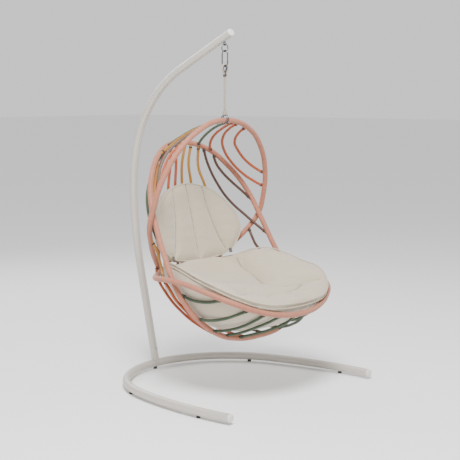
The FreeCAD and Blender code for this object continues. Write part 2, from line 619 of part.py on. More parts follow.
for side, sign in SIDES.items():
    for family in (CROWN_RIBS, WAIST_RIBS, SIDE_RIBS):
        for name, points in family.items():
            feature("%s_%s" % (name, side), rib(points, sign))
    feature("keel_ribs_" + side, Part.makeCompound([rib(points, sign) for points in KEEL_RIBS]))
    feature("bowl_ribs_" + side, Part.makeCompound([rib(points, sign) for points in BOWL_RIBS]))

# ---------------------------------------------------------------- chair: cushions
# The back cushion is a fan-shaped slab of even depth, curved round the sitter and leaning back.
# Each arc of its outline: its start, a point on it and its end, as shares of half width and height.
FAN_ARCS = [
    ((0.0, 1.0), (0.5, 0.905), (0.82, 0.70)),
    ((0.82, 0.70), (1.0, 0.376), (0.905, 0.2)),
    ((0.905, 0.2), (0.82, 0.105), (0.68, 0.06)),
    ((0.68, 0.06), (0.34, 0.015), (0.0, 0.0)),
]
fan_height = size("back_cushion_top") - size("back_cushion_bottom")


def fan_point(share, sign):
    """A point of the back cushion's outline in the upright plane."""
    return V(sign * share[0] * size("back_cushion_half_width"), 0, size("back_cushion_bottom") + share[1] * fan_height)


left_arcs = [Part.Arc(*[fan_point(share, 1) for share in shares]).toShape() for shares in FAN_ARCS]
right_arcs = [
    Part.Arc(*[fan_point(share, -1) for share in reversed(shares)]).toShape() for shares in reversed(FAN_ARCS)
]
fan_outline = doc.addObject("Part::Feature", "fan_outline")
fan_outline.Shape = Part.Wire(left_arcs + right_arcs)
fan_prism = doc.addObject("Part::Extrusion", "fan_prism")
fan_prism.Base = fan_outline
fan_prism.Dir = V(0, 1, 0)
fan_prism.LengthFwd = 400
fan_prism.Solid = True
back_foot = V(0, 198.0 + size("hang_y"), size("back_cushion_bottom"))
back_axis = back_foot - V(0, size("back_cushion_radius"), 50)
back_outer = cylinder("back_outer", back_axis, V(0, 0, 1),
                      "Sizes.back_cushion_radius + Sizes.back_cushion_depth", "700 mm")
back_inner = cylinder("back_inner", back_axis, V(0, 0, 1), "Sizes.back_cushion_radius", "700 mm")
back_shell = boolean("Cut", "back_shell", back_outer, back_inner)
back_fan = boolean("Common", "back_fan", back_shell, fan_prism)
doc.recompute()
back_lean = FreeCAD.Placement(V(0, 0, 0), FreeCAD.Rotation(V(1, 0, 0), -size("back_cushion_lean")), back_foot)
feature("back_cushion", back_fan.Shape.transformed(back_lean.toMatrix()))

# The seat cushion is a deep dish. Each section across it: place from the hanging line,
# half width, height of the edge, of the middle above and of the middle below.
SEAT_SECTIONS = [
    (-547, 134, 568, 560, 532), (-520, 266, 583, 567, 516), (-440, 388, 632, 584, 462),
    (-330, 458, 690, 598, 402), (-210, 480, 736, 604, 376), (-90, 476, 775, 605, 374),
    (20, 452, 796, 606, 400), (120, 410, 785, 645, 455), (190, 330, 752, 708, 525), (245, 200, 735, 730, 628),
]
SEAT_LIP = 26.0
SEAT_FULLNESS = 2.3


def seat_section(y, half_width, edge, top, bottom):
    """The closed outline of the seat cushion at one place along it."""
    under = []
    for step in range(9):
        share = math.cos(math.pi * step / 8)
        depth = (1 - abs(share) ** SEAT_FULLNESS) ** (1 / SEAT_FULLNESS)
        under.append(V(share * half_width, y, edge - SEAT_LIP - (edge - SEAT_LIP - bottom) * depth))
    below = Part.BSplineCurve()
    below.interpolate(under)
    above = Part.Arc(V(-half_width, y, edge), V(0, y, top), V(half_width, y, edge))
    return Part.Wire([
        Part.LineSegment(V(half_width, y, edge), under[0]).toShape(),
        below.toShape(),
        Part.LineSegment(under[-1], V(-half_width, y, edge)).toShape(),
        above.toShape(),
    ])


sections = [seat_section(place + size("hang_y"), *measures) for place, *measures in SEAT_SECTIONS]
feature("seat_cushion", Part.makeLoft(sections, True, False))

# A short webbing tab hangs in front of the lower edge of the back cushion on each side.
tab_size = V(22, 3, 28)
tab_across = 262.0
tab_lift = 20.0
tab_turn = math.asin(tab_across / size("back_cushion_radius"))
tab_blank = Part.makeBox(tab_size.x, tab_size.y, tab_size.z, V(-tab_size.x / 2, -tab_size.y, 0))
tab_reach = size("back_cushion_radius") - 0.5
tabs = []
for sign in SIDES.values():
    tab = tab_blank.copy()
    tab_place = back_axis + V(sign * tab_reach * math.sin(tab_turn), tab_reach * math.cos(tab_turn), 50 + tab_lift)
    tab.Placement = FreeCAD.Placement(tab_place, FreeCAD.Rotation(V(0, 0, 1), -sign * math.degrees(tab_turn)))
    tabs.append(tab.transformed(back_lean.toMatrix()))
feature("cushion_tabs", Part.makeCompound(tabs))

# ---------------------------------------------------------------- checks and export
doc.recompute()
for item in doc.Objects:
    if "Invalid" in item.State or "Error" in item.State:
        raise RuntimeError("%s failed: %s" % (item.Label, item.State))
for name, item in nodes.items():
    if item.Shape.isNull() or not item.Shape.isValid():
        raise RuntimeError(name + " has no valid shape")

os.makedirs("parts", exist_ok=True)
for name, item in nodes.items():
    item.Shape.exportStep("parts/%s.step" % name)
print(len(nodes), "parts written")
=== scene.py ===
"""Looks of a hanging cocoon chair on a curved stand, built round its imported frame."""

import json
import logging
import math
from dataclasses import dataclass, field
from enum import Enum

import bmesh
import bpy
from mathutils import Matrix, Vector, noise
from mathutils.bvhtree import BVHTree
from mathutils.kdtree import KDTree

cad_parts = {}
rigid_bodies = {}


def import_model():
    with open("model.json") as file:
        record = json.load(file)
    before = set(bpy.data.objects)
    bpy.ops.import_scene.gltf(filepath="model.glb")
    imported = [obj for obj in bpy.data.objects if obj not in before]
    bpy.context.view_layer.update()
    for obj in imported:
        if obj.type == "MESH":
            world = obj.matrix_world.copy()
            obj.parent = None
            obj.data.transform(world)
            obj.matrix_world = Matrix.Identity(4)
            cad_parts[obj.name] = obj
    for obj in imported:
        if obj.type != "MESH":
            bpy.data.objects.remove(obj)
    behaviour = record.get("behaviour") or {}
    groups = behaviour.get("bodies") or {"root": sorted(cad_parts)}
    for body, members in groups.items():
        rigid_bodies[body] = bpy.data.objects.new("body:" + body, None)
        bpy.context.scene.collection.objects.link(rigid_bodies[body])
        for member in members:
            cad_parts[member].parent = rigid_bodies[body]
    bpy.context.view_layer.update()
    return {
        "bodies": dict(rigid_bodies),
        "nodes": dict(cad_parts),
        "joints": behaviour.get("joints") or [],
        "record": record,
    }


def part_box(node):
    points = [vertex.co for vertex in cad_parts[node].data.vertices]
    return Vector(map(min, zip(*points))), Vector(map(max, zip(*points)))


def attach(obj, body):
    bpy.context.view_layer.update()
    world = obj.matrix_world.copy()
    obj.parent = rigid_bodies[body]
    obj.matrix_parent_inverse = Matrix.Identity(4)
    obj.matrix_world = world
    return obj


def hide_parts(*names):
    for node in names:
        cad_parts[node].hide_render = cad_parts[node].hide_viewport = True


log = logging.getLogger("hanging_chair")
Point = tuple[float, float, float]
MM = 0.001
HANG_Y = -94.0


class Body(Enum):
    """The rigid bodies that pieces ride on."""

    STAND = "stand"
    RING = "ring"
    HANGER = "hanger"
    GATE = "gate"
    CHAIR = "chair"


# ---------------------------------------------------------------- node trees
class Tree:
    """Adds nodes to a node tree and links them."""

    def __init__(self, tree: bpy.types.NodeTree) -> None:
        """Keeps the tree that the nodes go into."""
        self.tree = tree

    def add(self, kind: str, inputs: dict | None = None, **settings) -> bpy.types.Node:
        """Adds one node.

        Args:
            kind: the node's type name.
            inputs: values or output sockets, by input name or index.
            settings: the node's own properties.

        Returns:
            The node.
        """
        made = self.tree.nodes.new(kind)
        for name, value in settings.items():
            setattr(made, name, value)
        for key, value in (inputs or {}).items():
            if isinstance(value, bpy.types.NodeSocket):
                self.tree.links.new(value, made.inputs[key])
            else:
                made.inputs[key].default_value = value
        return made

    def math(self, operation: str, *values) -> bpy.types.NodeSocket:
        """Adds a Math node and returns its output."""
        made = self.add("ShaderNodeMath", dict(enumerate(values)), operation=operation)
        return made.outputs[0]

    def ramp(self, value, low: float, high: float, to_low: float = 0.0, to_high: float = 1.0):
        """Adds a clamped Map Range node and returns its output."""
        inputs = {"Value": value, "From Min": low, "From Max": high, "To Min": to_low, "To Max": to_high}
        return self.add("ShaderNodeMapRange", inputs).outputs[0]

    def mix(self, factor, first, second) -> bpy.types.NodeSocket:
        """Adds a colour Mix node and returns its output."""
        made = self.add("ShaderNodeMix", {"Factor": factor}, data_type="RGBA")
        for index, value in ((6, first), (7, second)):
            if isinstance(value, bpy.types.NodeSocket):
                self.tree.links.new(value, made.inputs[index])
            else:
                made.inputs[index].default_value = value
        return made.outputs[2]


def group(name: str, inputs: dict[str, str], outputs: dict[str, str]) -> tuple[bpy.types.NodeTree, Tree, dict, dict]:
    """Makes an empty shader node group.

    Args:
        name: the group's name.
        inputs: socket types by name.
        outputs: socket types by name.

    Returns:
        The group, its Tree, its input sockets by name, and the inner sockets of its outputs by name.
    """
    made = bpy.data.node_groups.new(name, "ShaderNodeTree")
    for sockets, way in ((inputs, "INPUT"), (outputs, "OUTPUT")):
        for socket, kind in sockets.items():
            made.interface.new_socket(name=socket, in_out=way, socket_type=kind)
    tree = Tree(made)
    start = made.nodes.new("NodeGroupInput")
    end = made.nodes.new("NodeGroupOutput")
    return made, tree, {name: start.outputs[name] for name in inputs}, {name: end.inputs[name] for name in outputs}


def mottle_group() -> bpy.types.NodeTree:
    """A soft cloudy value between 0 and 1."""
    made, tree, given, out = group(
        "mottle", {"Vector": "NodeSocketVector", "Scale": "NodeSocketFloat"}, {"Value": "NodeSocketFloat"}
    )
    cloud = tree.add("ShaderNodeTexNoise", {"Vector": given["Vector"], "Scale": given["Scale"], "Detail": 5.0})
    made.links.new(tree.ramp(cloud.outputs[0], 0.3, 0.7), out["Value"])
    return made


def weave_group() -> bpy.types.NodeTree:
    """A plain weave, laid on a surface from the axis that it faces most.

    Returns:
        The group, with the threads' height and the gaps between them.
    """
    made, tree, given, out = group(
        "plain_weave",
        {"Vector": "NodeSocketVector", "Facing": "NodeSocketVector", "Thread": "NodeSocketFloat"},
        {"Height": "NodeSocketFloat"},
    )
    scaled = tree.add(
        "ShaderNodeVectorMath", {0: given["Vector"], 1: (math.pi, math.pi, math.pi)}, operation="MULTIPLY"
    ).outputs[0]
    spread = tree.math("DIVIDE", 1.0, given["Thread"])
    scaled = tree.add("ShaderNodeVectorMath", {0: scaled, "Scale": spread}, operation="SCALE").outputs[0]
    place = tree.add("ShaderNodeSeparateXYZ", {0: scaled}).outputs
    facing = tree.add("ShaderNodeVectorMath", {0: given["Facing"]}, operation="ABSOLUTE").outputs[0]
    weight = tree.add("ShaderNodeSeparateXYZ", {0: facing}).outputs
    waves = [tree.math("SINE", axis) for axis in place]
    total = None
    for across, first, second in ((0, 1, 2), (1, 0, 2), (2, 0, 1)):
        crossing = tree.math("MULTIPLY", waves[first], waves[second])
        share = tree.math("POWER", weight[across], 4.0)
        part = tree.math("MULTIPLY", tree.math("ABSOLUTE", crossing), share)
        total = part if total is None else tree.math("ADD", total, part)
    made.links.new(total, out["Height"])
    return made


def winding_group() -> bpy.types.NodeTree:
    """Cord wound closely round a rod, from a UV map: turns round it along U and metres along V.

    Returns:
        The group, with the height of the wound cord and the shade of each turn.
    """
    made, tree, given, out = group(
        "winding",
        {"UV": "NodeSocketVector", "Pitch": "NodeSocketFloat"},
        {"Height": "NodeSocketFloat", "Turn": "NodeSocketFloat"},
    )
    place = tree.add("ShaderNodeSeparateXYZ", {0: given["UV"]}).outputs
    turns = tree.math("ADD", tree.math("DIVIDE", place[1], given["Pitch"]), place[0])
    wave = tree.math("ABSOLUTE", tree.math("SINE", tree.math("MULTIPLY", turns, math.pi)))
    made.links.new(tree.math("POWER", wave, 0.45), out["Height"])
    shade = tree.add("ShaderNodeTexWhiteNoise", {"W": tree.math("FLOOR", turns)}, noise_dimensions="1D")
    made.links.new(shade.outputs[0], out["Turn"])
    return made


# ---------------------------------------------------------------- finishes
@dataclass(frozen=True)
class Finish:
    """A finish with a colour, made into a material once.

    Attributes:
        name: the material's name.
        colour: its base colour, linear.
        roughness: how matt it is.
    """

    name: str
    colour: Point
    roughness: float = 0.5

    def material(self) -> bpy.types.Material:
        """Returns the material, which is made on first use."""
        found = bpy.data.materials.get(self.name)
        if found:
            return found
        made = bpy.data.materials.new(self.name)
        made.use_nodes = True
        tree = Tree(made.node_tree)
        shader = made.node_tree.nodes["Principled BSDF"]
        self.dress(tree, shader)
        return made

    def dress(self, tree: Tree, shader: bpy.types.Node) -> None:
        """Adds the finish's nodes to the shader."""
        raise NotImplementedError

    def coords(self, tree: Tree, output: str = "Object") -> bpy.types.NodeSocket:
        """Returns an output of a Texture Coordinate node."""
        return tree.add("ShaderNodeTexCoord").outputs[output]

    def shade(self, factor: float) -> tuple[float, float, float, float]:
        """Returns the colour made lighter or darker."""
        return (*[min(1.0, part * factor) for part in self.colour], 1.0)

    def bump(self, tree: Tree, shader: bpy.types.Node, height, strength: float, distance: float) -> None:
        """Feeds a height into the shader's normal."""
        made = tree.add("ShaderNodeBump", {"Height": height, "Strength": strength, "Distance": distance})
        tree.tree.links.new(made.outputs[0], shader.inputs["Normal"])

    def mottle(self, tree: Tree, scale: float, vector=None) -> bpy.types.NodeSocket:
        """Places the mottle group and returns its value."""
        made = tree.add("ShaderNodeGroup", node_tree=shared("mottle"))
        tree.tree.links.new(vector or self.coords(tree), made.inputs["Vector"])
        made.inputs["Scale"].default_value = scale
        return made.outputs["Value"]


def shared(name: str) -> bpy.types.NodeTree:
    """Returns a node group that several finishes use, made on first use."""
    makers = {"mottle": mottle_group, "plain_weave": weave_group, "winding": winding_group}
    return bpy.data.node_groups.get(name) or makers[name]()


@dataclass(frozen=True)
class PaintFinish(Finish):
    """Satin powder coat with a fine orange peel."""

    peel: float = 700.0

    def dress(self, tree: Tree, shader: bpy.types.Node) -> None:
        """Adds the coat's slight unevenness."""
        cloud = self.mottle(tree, 6.0)
        tree.tree.links.new(tree.mix(cloud, self.shade(0.96), self.shade(1.04)), shader.inputs["Base Color"])
        fine = self.mottle(tree, self.peel)
        tree.tree.links.new(
            tree.ramp(fine, 0.0, 1.0, self.roughness - 0.04, self.roughness + 0.06), shader.inputs["Roughness"]
        )
        shader.inputs["Metallic"].default_value = 0.25
        shader.inputs["Coat Weight"].default_value = 0.15
        self.bump(tree, shader, fine, 0.12, 0.0002)


@dataclass(frozen=True)
class MouldedFinish(Finish):
    """Moulded plastic or rubber with a fine spark-eroded grain."""

    grain: float = 1500.0

    def dress(self, tree: Tree, shader: bpy.types.Node) -> None:
        """Adds the grain."""
        fine = self.mottle(tree, self.grain)
        tree.tree.links.new(tree.mix(fine, self.shade(0.9), self.shade(1.08)), shader.inputs["Base Color"])
        tree.tree.links.new(
            tree.ramp(fine, 0.0, 1.0, self.roughness - 0.05, self.roughness + 0.08), shader.inputs["Roughness"]
        )
        self.bump(tree, shader, fine, 0.2, 0.0002)


@dataclass(frozen=True)
class SteelFinish(Finish):
    """Polished steel, a little scratched, duller in patches."""

    def dress(self, tree: Tree, shader: bpy.types.Node) -> None:
        """Adds scratches and dull patches."""
        place = self.coords(tree)
        drawn = tree.add("ShaderNodeMapping", {"Vector": place, "Scale": (900.0, 900.0, 60.0)}).outputs[0]
        scratch = self.mottle(tree, 1.0, drawn)
        patch = self.mottle(tree, 60.0)
        tree.tree.links.new(tree.mix(patch, self.shade(0.75), self.shade(1.2)), shader.inputs["Base Color"])
        tree.tree.links.new(
            tree.ramp(scratch, 0.0, 1.0, self.roughness - 0.06, self.roughness + 0.1), shader.inputs["Roughness"]
        )
        shader.inputs["Metallic"].default_value = 1.0
        self.bump(tree, shader, scratch, 0.08, 0.0001)


@dataclass(frozen=True)
class WoundFinish(Finish):
    """Cord wound closely round a rod or tube.

    Attributes:
        pitch: the width of one turn, in metres.
        relief: how far the cord stands out, in metres.
        groove_shade: how much painted shade darkens the grooves between turns.
    """

    pitch: float = 0.0036
    relief: float = 0.0006
    groove_shade: float = 0.35

    def dress(self, tree: Tree, shader: bpy.types.Node) -> None:
        """Adds the turns of cord, their fibres and their shades, and painted shade in the grooves between turns."""
        uv = self.coords(tree, "UV")
        wound = tree.add("ShaderNodeGroup", node_tree=shared("winding"))
        tree.tree.links.new(uv, wound.inputs["UV"])
        wound.inputs["Pitch"].default_value = self.pitch
        fibres = tree.add("ShaderNodeMapping", {"Vector": uv, "Scale": (60.0, 2200.0, 1.0)}).outputs[0]
        fibre = self.mottle(tree, 1.0, fibres)
        worn = self.mottle(tree, 14.0)
        shaded = tree.mix(wound.outputs["Turn"], self.shade(0.9), self.shade(1.1))
        flecked = tree.mix(tree.math("MULTIPLY", fibre, 0.3), shaded, self.shade(1.35))
        aged = tree.mix(tree.math("MULTIPLY", worn, 0.25), flecked, self.shade(0.82))
        # painted shade: where the cord dips between turns its colour is darkened towards a third of itself
        groove = tree.ramp(wound.outputs["Height"], 0.15, 0.75, self.groove_shade, 0.0)
        tree.tree.links.new(tree.mix(groove, aged, self.shade(0.35)), shader.inputs["Base Color"])
        tree.tree.links.new(
            tree.ramp(fibre, 0.0, 1.0, self.roughness - 0.08, self.roughness + 0.1), shader.inputs["Roughness"]
        )
        shader.inputs["Sheen Weight"].default_value = 0.15
        height = tree.math("ADD", wound.outputs["Height"], tree.math("MULTIPLY", fibre, 0.15))
        self.bump(tree, shader, height, 0.8, self.relief)


@dataclass(frozen=True)
class ClothFinish(Finish):
    """Woven outdoor cloth of mixed yarns, with slubs along the weft.

    Attributes:
        thread: the spacing of its threads, in metres.
        fleck: how far the darker yarns differ.
    """

    thread: float = 0.0022
    fleck: float = 0.35

    def dress(self, tree: Tree, shader: bpy.types.Node) -> None:
        """Adds the weave, the slubs, the mixed yarns and painted shade in the gaps between threads."""
        place = self.coords(tree)
        woven = tree.add("ShaderNodeGroup", node_tree=shared("plain_weave"))
        tree.tree.links.new(place, woven.inputs["Vector"])
        tree.tree.links.new(self.coords(tree, "Normal"), woven.inputs["Facing"])
        woven.inputs["Thread"].default_value = self.thread
        weft = tree.add("ShaderNodeMapping", {"Vector": place, "Scale": (26.0, 26.0, 330.0)}).outputs[0]
        slub = self.mottle(tree, 1.0, weft)
        warp = tree.add("ShaderNodeMapping", {"Vector": place, "Scale": (420.0, 60.0, 60.0)}).outputs[0]
        yarn = self.mottle(tree, 1.0, warp)
        broad = self.mottle(tree, 5.0)
        mixed = tree.mix(tree.math("MULTIPLY", slub, self.fleck), self.shade(1.06), self.shade(0.72))
        mixed = tree.mix(tree.math("MULTIPLY", yarn, self.fleck * 0.6), mixed, self.shade(0.8))
        mixed = tree.mix(tree.math("MULTIPLY", broad, 0.18), mixed, self.shade(0.88))
        # painted shade: the gaps between threads are darkened towards half the cloth's colour
        gap = tree.ramp(woven.outputs["Height"], 0.0, 0.3, 0.3, 0.0)
        tree.tree.links.new(tree.mix(gap, mixed, self.shade(0.5)), shader.inputs["Base Color"])
        shader.inputs["Roughness"].default_value = self.roughness
        shader.inputs["Sheen Weight"].default_value = 0.35
        shader.inputs["Sheen Roughness"].default_value = 0.5
        height = tree.math("ADD", woven.outputs["Height"], tree.math("MULTIPLY", slub, 0.5))
        self.bump(tree, shader, height, 0.45, 0.0006)


@dataclass(frozen=True)
class FloorFinish(Finish):
    """A plain pale floor."""

    def dress(self, tree: Tree, shader: bpy.types.Node) -> None:
        """Sets the floor's plain colour."""
        shader.inputs["Base Color"].default_value = self.shade(1.0)
        shader.inputs["Roughness"].default_value = self.roughness


STAND_PAINT = PaintFinish("stand_paint", (0.30, 0.28, 0.25), 0.38)
CAP_PLASTIC = MouldedFinish("stand_cap", (0.42, 0.40, 0.37), 0.45)
GLIDE_RUBBER = MouldedFinish("glide_rubber", (0.02, 0.02, 0.02), 0.7)
ZINC = SteelFinish("zinc_steel", (0.52, 0.52, 0.53), 0.35)
DARK_STEEL = SteelFinish("dark_steel", (0.16, 0.16, 0.17), 0.22)
SLEEVE_METAL = SteelFinish("sleeve_aluminium", (0.7, 0.7, 0.72), 0.3)
HOOP_CORD = WoundFinish("hoop_cord", (0.37, 0.135, 0.08), 0.6, pitch=0.0042, relief=0.0006, groove_shade=0.3)
ROPE_FIBRE = WoundFinish("rope_fibre", (0.30, 0.25, 0.21), 0.75, pitch=0.006, relief=0.0005)
BINDING_CORD = WoundFinish("binding_cord", (0.035, 0.026, 0.022), 0.65, pitch=0.002, relief=0.0003)
CUSHION_CLOTH = ClothFinish("cushion_cloth", (0.50, 0.43, 0.32), 0.85)
# a darker copy of the cushion cloth for the faces turned down or back: painted shade
SHADED_UNDER_CLOTH = ClothFinish("under_cloth_painted_shade", (0.36, 0.32, 0.26), 0.88, fleck=0.5)
GUSSET_CLOTH = ClothFinish("gusset_cloth", (0.27, 0.255, 0.235), 0.85)
PIPING_CLOTH = WoundFinish("piping_cloth", (0.48, 0.42, 0.32), 0.8, pitch=0.0018, relief=0.0002, groove_shade=0.15)
SEAM_THREAD = WoundFinish("seam_thread", (0.50, 0.43, 0.33), 0.8, pitch=0.0012, relief=0.0001, groove_shade=0.15)
# near-black cord sunk along each seam: painted shade in the seam's groove
SEAM_SHADE = WoundFinish("seam_painted_shade", (0.075, 0.058, 0.042), 0.9, pitch=0.0014, relief=0.0001, groove_shade=0.15)
WEBBING = ClothFinish("tab_webbing", (0.05, 0.045, 0.04), 0.8, thread=0.0016)
RIB_COLOURS = {
    "rust": (0.33, 0.055, 0.008),
    "mustard": (0.32, 0.135, 0.007),
    "brown": (0.062, 0.022, 0.012),
    "umber": (0.115, 0.068, 0.048),
    "green": (0.036, 0.062, 0.028),
}


def rib_finish(colour: str) -> WoundFinish:
    """Returns the wound finish of a rib's colour."""
    return WoundFinish("rib_" + colour, RIB_COLOURS[colour], 0.55, pitch=0.003, relief=0.0004, groove_shade=0.25)


# ---------------------------------------------------------------- shapes
def hang(x: float, y: float, z: float, side: int = 1) -> Vector:
    """A point of the chair in metres, from millimetres measured from the hanging line."""
    return Vector((side * x, y + HANG_Y, z)) * MM


def smooth_line(points: list[Vector], step: float, closed: bool = False) -> list[Vector]:
    """A smooth line through points, cut into even steps.

    Args:
        points: the points it goes through.
        step: about how far apart the new points are, in metres.
        closed: whether the line returns to its start.

    Returns:
        The new points, without the first one again at the end.
    """
    curve = bpy.data.curves.new("line", "CURVE")
    curve.dimensions = "3D"
    curve.resolution_u = 32
    spline = curve.splines.new("BEZIER")
    spline.bezier_points.add(len(points) - 1)
    for bezier, point in zip(spline.bezier_points, points):
        bezier.co = point
        bezier.handle_left_type = "AUTO"
        bezier.handle_right_type = "AUTO"
    spline.use_cyclic_u = closed
    holder = bpy.data.objects.new("line", curve)
    bpy.context.scene.collection.objects.link(holder)
    bpy.context.view_layer.update()
    mesh = bpy.data.meshes.new_from_object(holder.evaluated_get(bpy.context.evaluated_depsgraph_get()))
    dense = [vert.co.copy() for vert in mesh.vertices]
    bpy.data.objects.remove(holder)
    bpy.data.curves.remove(curve)
    bpy.data.meshes.remove(mesh)
    if closed:
        dense.append(dense[0].copy())
    lengths = [(b - a).length for a, b in zip(dense, dense[1:])]
    total = sum(lengths)
    count = max(2, round(total / step))
    line, reached, index = [], 0.0, 0
    for cut in range(count if closed else count + 1):
        wanted = total * cut / count
        while index < len(lengths) - 1 and reached + lengths[index] < wanted:
            reached += lengths[index]
            index += 1
        share = (wanted - reached) / lengths[index] if lengths[index] else 0.0
        line.append(dense[index].lerp(dense[index + 1], min(share, 1.0)))
    return line


def frames_along(line: list[Vector], closed: bool) -> list[Matrix]:
    """A matrix at each point of a line, with its Z along it and as little twist as can be."""
    count = len(line)
    tangents = []
    for index in range(count):
        ahead = line[(index + 1) % count] if closed or index < count - 1 else line[index]
        behind = line[index - 1] if closed or index > 0 else line[index]
        tangents.append((ahead - behind).normalized())
    normal = tangents[0].orthogonal().normalized()
    normals = [normal]
    for before, after in zip(tangents, tangents[1:]):
        normal = before.rotation_difference(after) @ normal
        normals.append(normal)
    twist = 0.0
    if closed:
        carried = tangents[-1].rotation_difference(tangents[0]) @ normals[-1]
        twist = math.atan2(tangents[0].dot(carried.cross(normals[0])), carried.dot(normals[0]))
    frames = []
    for index, (point, tangent, normal) in enumerate(zip(line, tangents, normals)):
        turned = Matrix.Rotation(twist * index / count, 3, tangent) @ normal
        across = tangent.cross(turned)
        rows = Matrix((turned, across, tangent)).transposed().to_4x4()
        frames.append(Matrix.Translation(point) @ rows)
    return frames


def sweep(bm: bmesh.types.BMesh, line: list[Vector], radius: float, sides: int, closed: bool = False) -> None:
    """Sweeps a round section along a line, into a bmesh, with turns along U and metres along V.

    Args:
        bm: the bmesh that takes the rod.
        line: the rod's centre line.
        radius: the rod's radius, in metres.
        sides: how many sides its section has.
        closed: whether the line is a loop.
    """
    rod = bmesh.new()
    side_layer = rod.verts.layers.float.new("side")
    way_layer = rod.verts.layers.float.new("way")
    frames = frames_along(line, closed)
    if closed:
        frames.append(frames[0])
    start = bmesh.ops.create_circle(rod, segments=sides, radius=radius, matrix=frames[0])["verts"]
    for number, vert in enumerate(start):
        vert[side_layer] = number / sides
        vert[way_layer] = 0.0
    ring_edges = list({edge for vert in start for edge in vert.link_edges})
    caps = [list(ring_edges)]
    way = 0.0
    for before, after in zip(frames, frames[1:]):
        way += (after.translation - before.translation).length
        grown = bmesh.ops.extrude_edge_only(rod, edges=ring_edges)["geom"]
        verts = {item for item in grown if isinstance(item, bmesh.types.BMVert)}
        ring_edges = [
            item for item in grown if isinstance(item, bmesh.types.BMEdge) and verts.issuperset(item.verts)
        ]
        shift = after @ before.inverted()
        for vert in verts:
            vert.co = shift @ vert.co
            vert[way_layer] = way
    caps.append(ring_edges)
    uv = rod.loops.layers.uv.new("UVMap")
    for face in rod.faces:
        turns = [loop.vert[side_layer] for loop in face.loops]
        wraps = max(turns) - min(turns) > 0.5
        for loop, turn in zip(face.loops, turns):
            loop[uv].uv = (turn + 1.0 if wraps and turn < 0.5 else turn, loop.vert[way_layer])
    if closed:
        ends = {vert for ring in caps for edge in ring for vert in edge.verts}
        bmesh.ops.remove_doubles(rod, verts=list(ends), dist=radius * 0.01)
    else:
        for ring in caps:
            bmesh.ops.edgenet_fill(rod, edges=ring)
    rod.verts.layers.float.remove(rod.verts.layers.float["side"])
    rod.verts.layers.float.remove(rod.verts.layers.float["way"])
    merge(rod, bm)


def merge(part: bmesh.types.BMesh, whole: bmesh.types.BMesh) -> None:
    """Moves one bmesh's faces into another and frees it."""
    mesh = bpy.data.meshes.new("part")
    part.to_mesh(mesh)
    part.free()
    whole.from_mesh(mesh)
    bpy.data.meshes.remove(mesh)


def torus(bm: bmesh.types.BMesh, frame: Matrix, major: float, minor: float, steps: int = 20, sides: int = 8) -> None:
    """Adds a round ring to a bmesh, lying across the frame's Z."""
    centre = frame.translation
    line = [
        centre + frame.to_3x3() @ Vector((math.cos(turn), math.sin(turn), 0)) * major
        for turn in (2 * math.pi * step / steps for step in range(steps))
    ]
    sweep(bm, line, minor, sides, closed=True)


def finish_piece(
    bm: bmesh.types.BMesh, name: str, body: Body, finishes: list[Finish], replaced: tuple[str, ...] = ()
) -> bpy.types.Object:
    """Turns a bmesh into a piece of the object.

    Args:
        bm: the piece's shape, which is freed.
        name: the piece's name.
        body: the body it rides on.
        finishes: its finishes, by material index.
        replaced: the frame's nodes that it stands for.

    Returns:
        The piece.
    """
    bmesh.ops.recalc_face_normals(bm, faces=bm.faces)
    mesh = bpy.data.meshes.new(name)
    bm.to_mesh(mesh)
    bm.free()
    for polygon in mesh.polygons:
        polygon.use_smooth = True
    piece = bpy.data.objects.new(name, mesh)
    bpy.context.scene.collection.objects.link(piece)
    return settle(piece, body, finishes, replaced)


def settle(
    piece: bpy.types.Object, body: Body, finishes: list[Finish], replaced: tuple[str, ...] = ()
) -> bpy.types.Object:
    """Gives a piece its finishes, body and the nodes it stands for, and returns it."""
    piece.data.materials.clear()
    for finish in finishes:
        piece.data.materials.append(finish.material())
    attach(piece, body.value)
    if replaced:
        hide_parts(*replaced)
    log.info("%s: %d faces", piece.name, len(piece.data.polygons))
    return piece


def dress_node(node: str, finish: Finish) -> None:
    """Gives a node of the frame a finish."""
    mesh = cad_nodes[node].data
    mesh.materials.clear()
    mesh.materials.append(finish.material())
    log.info("%s dressed in %s", node, finish.name)


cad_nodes: dict[str, bpy.types.Object] = {}


# ---------------------------------------------------------------- the stand
@dataclass
class Stand:
    """The base, the mast and their small parts.

    Attributes:
        tube: the tube's radius, in metres.
        weld: the radius of the weld bead round the mast's foot.
    """

    tube: float = 0.02415
    weld: float = 0.0032
    foot: Point = (0.0, 0.495, 0.03715)
    lean: float = 12.0

    def build(self) -> None:
        """Dresses the frame's nodes and adds the weld bead."""
        for node in ("base_tube", "mast_tube", "mast_spigot"):
            dress_node(node, STAND_PAINT)
        for node in ("base_cap_left", "base_cap_right", "mast_cap"):
            dress_node(node, CAP_PLASTIC)
        dress_node("floor_glides", GLIDE_RUBBER)
        for node in ("glide_screws", "mast_bolt", "mast_nut"):
            dress_node(node, ZINC)
        dress_node("hanger_eye", DARK_STEEL)
        self.build_weld()

    def build_weld(self) -> None:
        """Lays the bead where the mast's foot meets the base."""
        bm = bmesh.new()
        tilt = math.radians(self.lean)
        along = Vector((0, math.sin(tilt), math.cos(tilt)))
        across = Vector((0, math.cos(tilt), -math.sin(tilt)))
        line = []
        for step in range(48):
            turn = 2 * math.pi * step / 48
            round_tube = Vector((math.cos(turn), 0, 0)) + across * math.sin(turn)
            line.append(Vector(self.foot) + (round_tube + along * abs(math.cos(turn))) * self.tube)
        sweep(bm, line, self.weld, 8, closed=True)
        finish_piece(bm, "mast_weld", Body.STAND, [STAND_PAINT])


